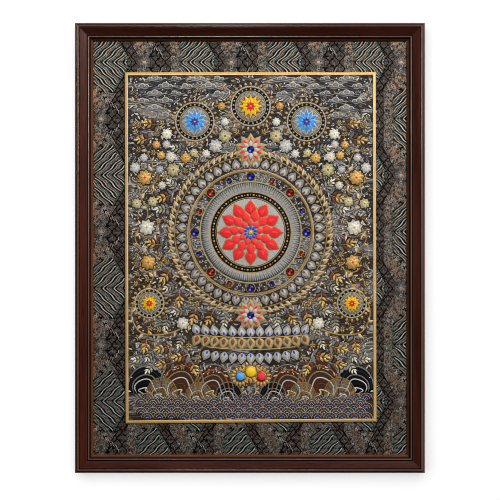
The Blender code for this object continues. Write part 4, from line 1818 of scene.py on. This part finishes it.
fillers = [(leaf("silver", "dark", "pearl", 10.0, 5.5, 1.5), 4.6, 0.20),     # motif, reach, share
           (leaf("palegold", "rust", "gold", 10.0, 5.0, 1.5), 4.6, 0.12),
           (curl("silver", 4.0, 1.5), 3.9, 0.27), (curl("gold", 3.4, 1.3), 3.4, 0.12),
           (curl("pearl", 3.2, 1.2), 3.2, 0.12), (stud("pearl", 1.5, 0.7, 8), 1.5, 0.11),
           (stud("gold", 1.4, 0.8, 8), 1.4, 0.06)]
motifs, reaches, shares = zip(*fillers)
places = [[] for _ in fillers]
spots = np.array(claimed)
for _ in range(FILLER_TRIES):
    kind = int(chance.choice(len(fillers), p=shares))
    x = chance.uniform(2, 240)
    z = chance.uniform(-296, 340)
    gaps = np.hypot(spots[:, 0] - x, spots[:, 1] - z) - spots[:, 2] * 0.97
    if gaps.min() < reaches[kind] * 0.82:
        continue
    places[kind].append((x, z, chance.uniform(0, 360), 1.0, chance.uniform(-0.15, 0.15)))
    room_taken = reaches[kind] * 0.8
    spots = np.vstack([spots, (x, z, room_taken), (-x, z, room_taken)])
sew_kinds(motifs, places, "small fillers")

# %% [markdown]
# ## Glass beads
#
# Each bead is a polished dome of coloured glass with a dark foil back. Light that falls in from
# above is gathered at the lower rim, so a bead is dark above and bright below. Clear glass would
# show that by itself, but slowly and with noise, and an export would lose it. So the dome carries
# its own place mark, and the finish paints the gathered light. One tree sets all beads of a colour.

# %% Domes
def glass_finish(name, deep, body, glow):
    """Coloured glass over foil, with painted light: shade above and at the rim, gathered light below,
    and a softer spot up on the right.
    """
    finish = Finish(name, Roughness=0.04, Specular_IOR_Level=0.4, Coat_Weight=0.2,
                    Coat_Roughness=0.02)
    spot = finish.attribute("spot", "Vector")
    x, z, _ = finish.parts(spot)
    radius = finish.vectors("LENGTH", spot, out="Value")
    gathered = finish.vectors("DISTANCE", spot, (-0.22, -0.42, 0.0), "Value")
    returned = finish.vectors("DISTANCE", spot, (0.16, 0.44, 0.0), "Value")
    low = x * -0.35 + z * -1.0
    colour = finish.ramp(low * radius, [(0.0, deep), (0.30, body)], "EASE")
    colour = finish.mix(finish.map(gathered, 0.42, 0.10, kind="SMOOTHSTEP"), colour, glow)
    # A softer spot of body colour up on the right: painted light.
    colour = finish.mix(finish.map(returned, 0.34, 0.10, 0.0, 0.45), colour, body)
    # The rim is darkened: painted shade at the dome's edge.
    rim = finish.map(radius, 0.80, 0.96)
    return finish.paint(finish.mix(rim, colour, tuple(part * 0.2 for part in deep)))


def dome(radius, height, around=40, rows=9):
    """A closed polished dome on its flat back, pointing forward, with its place mark."""
    corners = [(x, -height * sin(turn), z) for turn in dashes(0.0, pi / 2 * (1 - 1 / rows), rows)
               for x, z in ring(radius * cos(turn), around)]
    corners += [(0.0, -height, 0.0), (0.0, 0.0, 0.0)]
    pairs = [(step, (step + 1) % around) for step in range(around)]
    top = rows * around
    faces = [(first + here, first + ahead, first + around + ahead, first + around + here)
             for first in range(0, top - around, around) for here, ahead in pairs]
    faces += [(top - around + here, top - around + ahead, top) for here, ahead in pairs]
    faces += [(ahead, here, top + 1) for here, ahead in pairs]
    mesh = bpy.data.meshes.new("dome")
    mesh.from_pydata(corners, [], faces)
    face_outwards(mesh)
    mesh.shade_smooth()
    spots = [(x / radius, z / radius, 0.0) for x, _, z in corners]
    spot = mesh.attributes.new("spot", "FLOAT_VECTOR", "POINT")
    spot.data.foreach_set("vector", np.ravel(spots))
    return bpy.data.objects.new("dome", mesh)


glasses = {"blue": glass_finish("blue_glass_dressed", (0.001, 0.001, 0.075), (0.012, 0.014, 0.62),
                                (0.30, 0.38, 1.0)),
           "red": glass_finish("red_glass_dressed", (0.070, 0.001, 0.001), (0.60, 0.010, 0.007),
                               (1.0, 0.24, 0.11))}
print(len(glasses), "kinds of glass")

# %% Beads, each in a dark and a gold cord
SEATS = [(0.8, "dark", 1.6, 0.7), (1.8, "gold", 1.2, 0.9)]

groups = {}
seats = []
for node in sorted(name for name in nodes if name.startswith("bead_")):
    low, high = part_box(node)
    middle = ((low[0] + high[0]) / 2, high[1], (low[2] + high[2]) / 2)
    colour = nodes[node].material_slots[0].material.name.split("_")[0]
    groups.setdefault((node.split("_")[1], colour), []).append((node, middle))
    seats.append(((middle[0] - picture_middle.x) / MM, (middle[2] - picture_middle.y) / MM,
                  (high[0] - low[0]) / 2 / MM))
for (size, colour), members in groups.items():
    low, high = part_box(members[0][0])
    template = dome((high[0] - low[0]) / 2, high[1] - low[1])
    points = marked_points([middle for _, middle in members], turn=[0.0] * len(members),
                           size=[1.0] * len(members))
    beads = run_tree(f"beads_{size}_{colour}", points, set_motifs,
                     {"Motif": template, "Material": glasses[colour]})
    bpy.data.objects.remove(template)
    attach(beads, "root")
    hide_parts(*[node for node, _ in members])
    print(beads.name, len(members), "beads")
for reach, colour, width, rise in SEATS:
    for x, z, radius in seats:
        circle_cord((x, z), radius + reach, colour, width, rise, 30)

# %% Join each colour into one piece
def joined(name, parts):
    """Several mesh objects as one."""
    first = parts[0]
    with bpy.context.temp_override(active_object=first, object=first, selected_objects=parts,
                                   selected_editable_objects=parts):
        bpy.ops.object.join()
    first.name = name
    first.data.name = name
    return first


work = [joined("stitched_" + colour, parts) for colour, parts in sewn.items()]
dress_sheet("picture", work)
flat_map(cloth.data)
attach(cloth, "root")
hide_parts("picture_cloth")

# %% [markdown]
# ## Backing board
#
# The board closes the frame's back. It stays the solid itself, because a plain board has nothing
# finer to show. Only its slot gets a finish: brown hardboard, with the mottled felt of pressed
# fibres.

# %% Hardboard
def board_finish():
    """Pressed brown fibre board."""
    finish = Finish("plain_board_dressed", Roughness=0.75, Specular_IOR_Level=0.2)
    place = finish.object_place()
    fibres = finish.noise(place, 260.0, 4.0)
    both = fibres * 0.6 + finish.noise(place, 9.0, 3.0) * 0.4
    colour = finish.ramp(both, [(0.35, (0.13, 0.078, 0.038)), (0.65, (0.30, 0.20, 0.115))])
    return finish.paint(colour, fibres, 0.0002, 0.4)


board = bpy.data.objects["backing_board"]
board.material_slots[0].link = "OBJECT"
board.material_slots[0].material = board_finish()
print("board finish", board.material_slots[0].material.name)
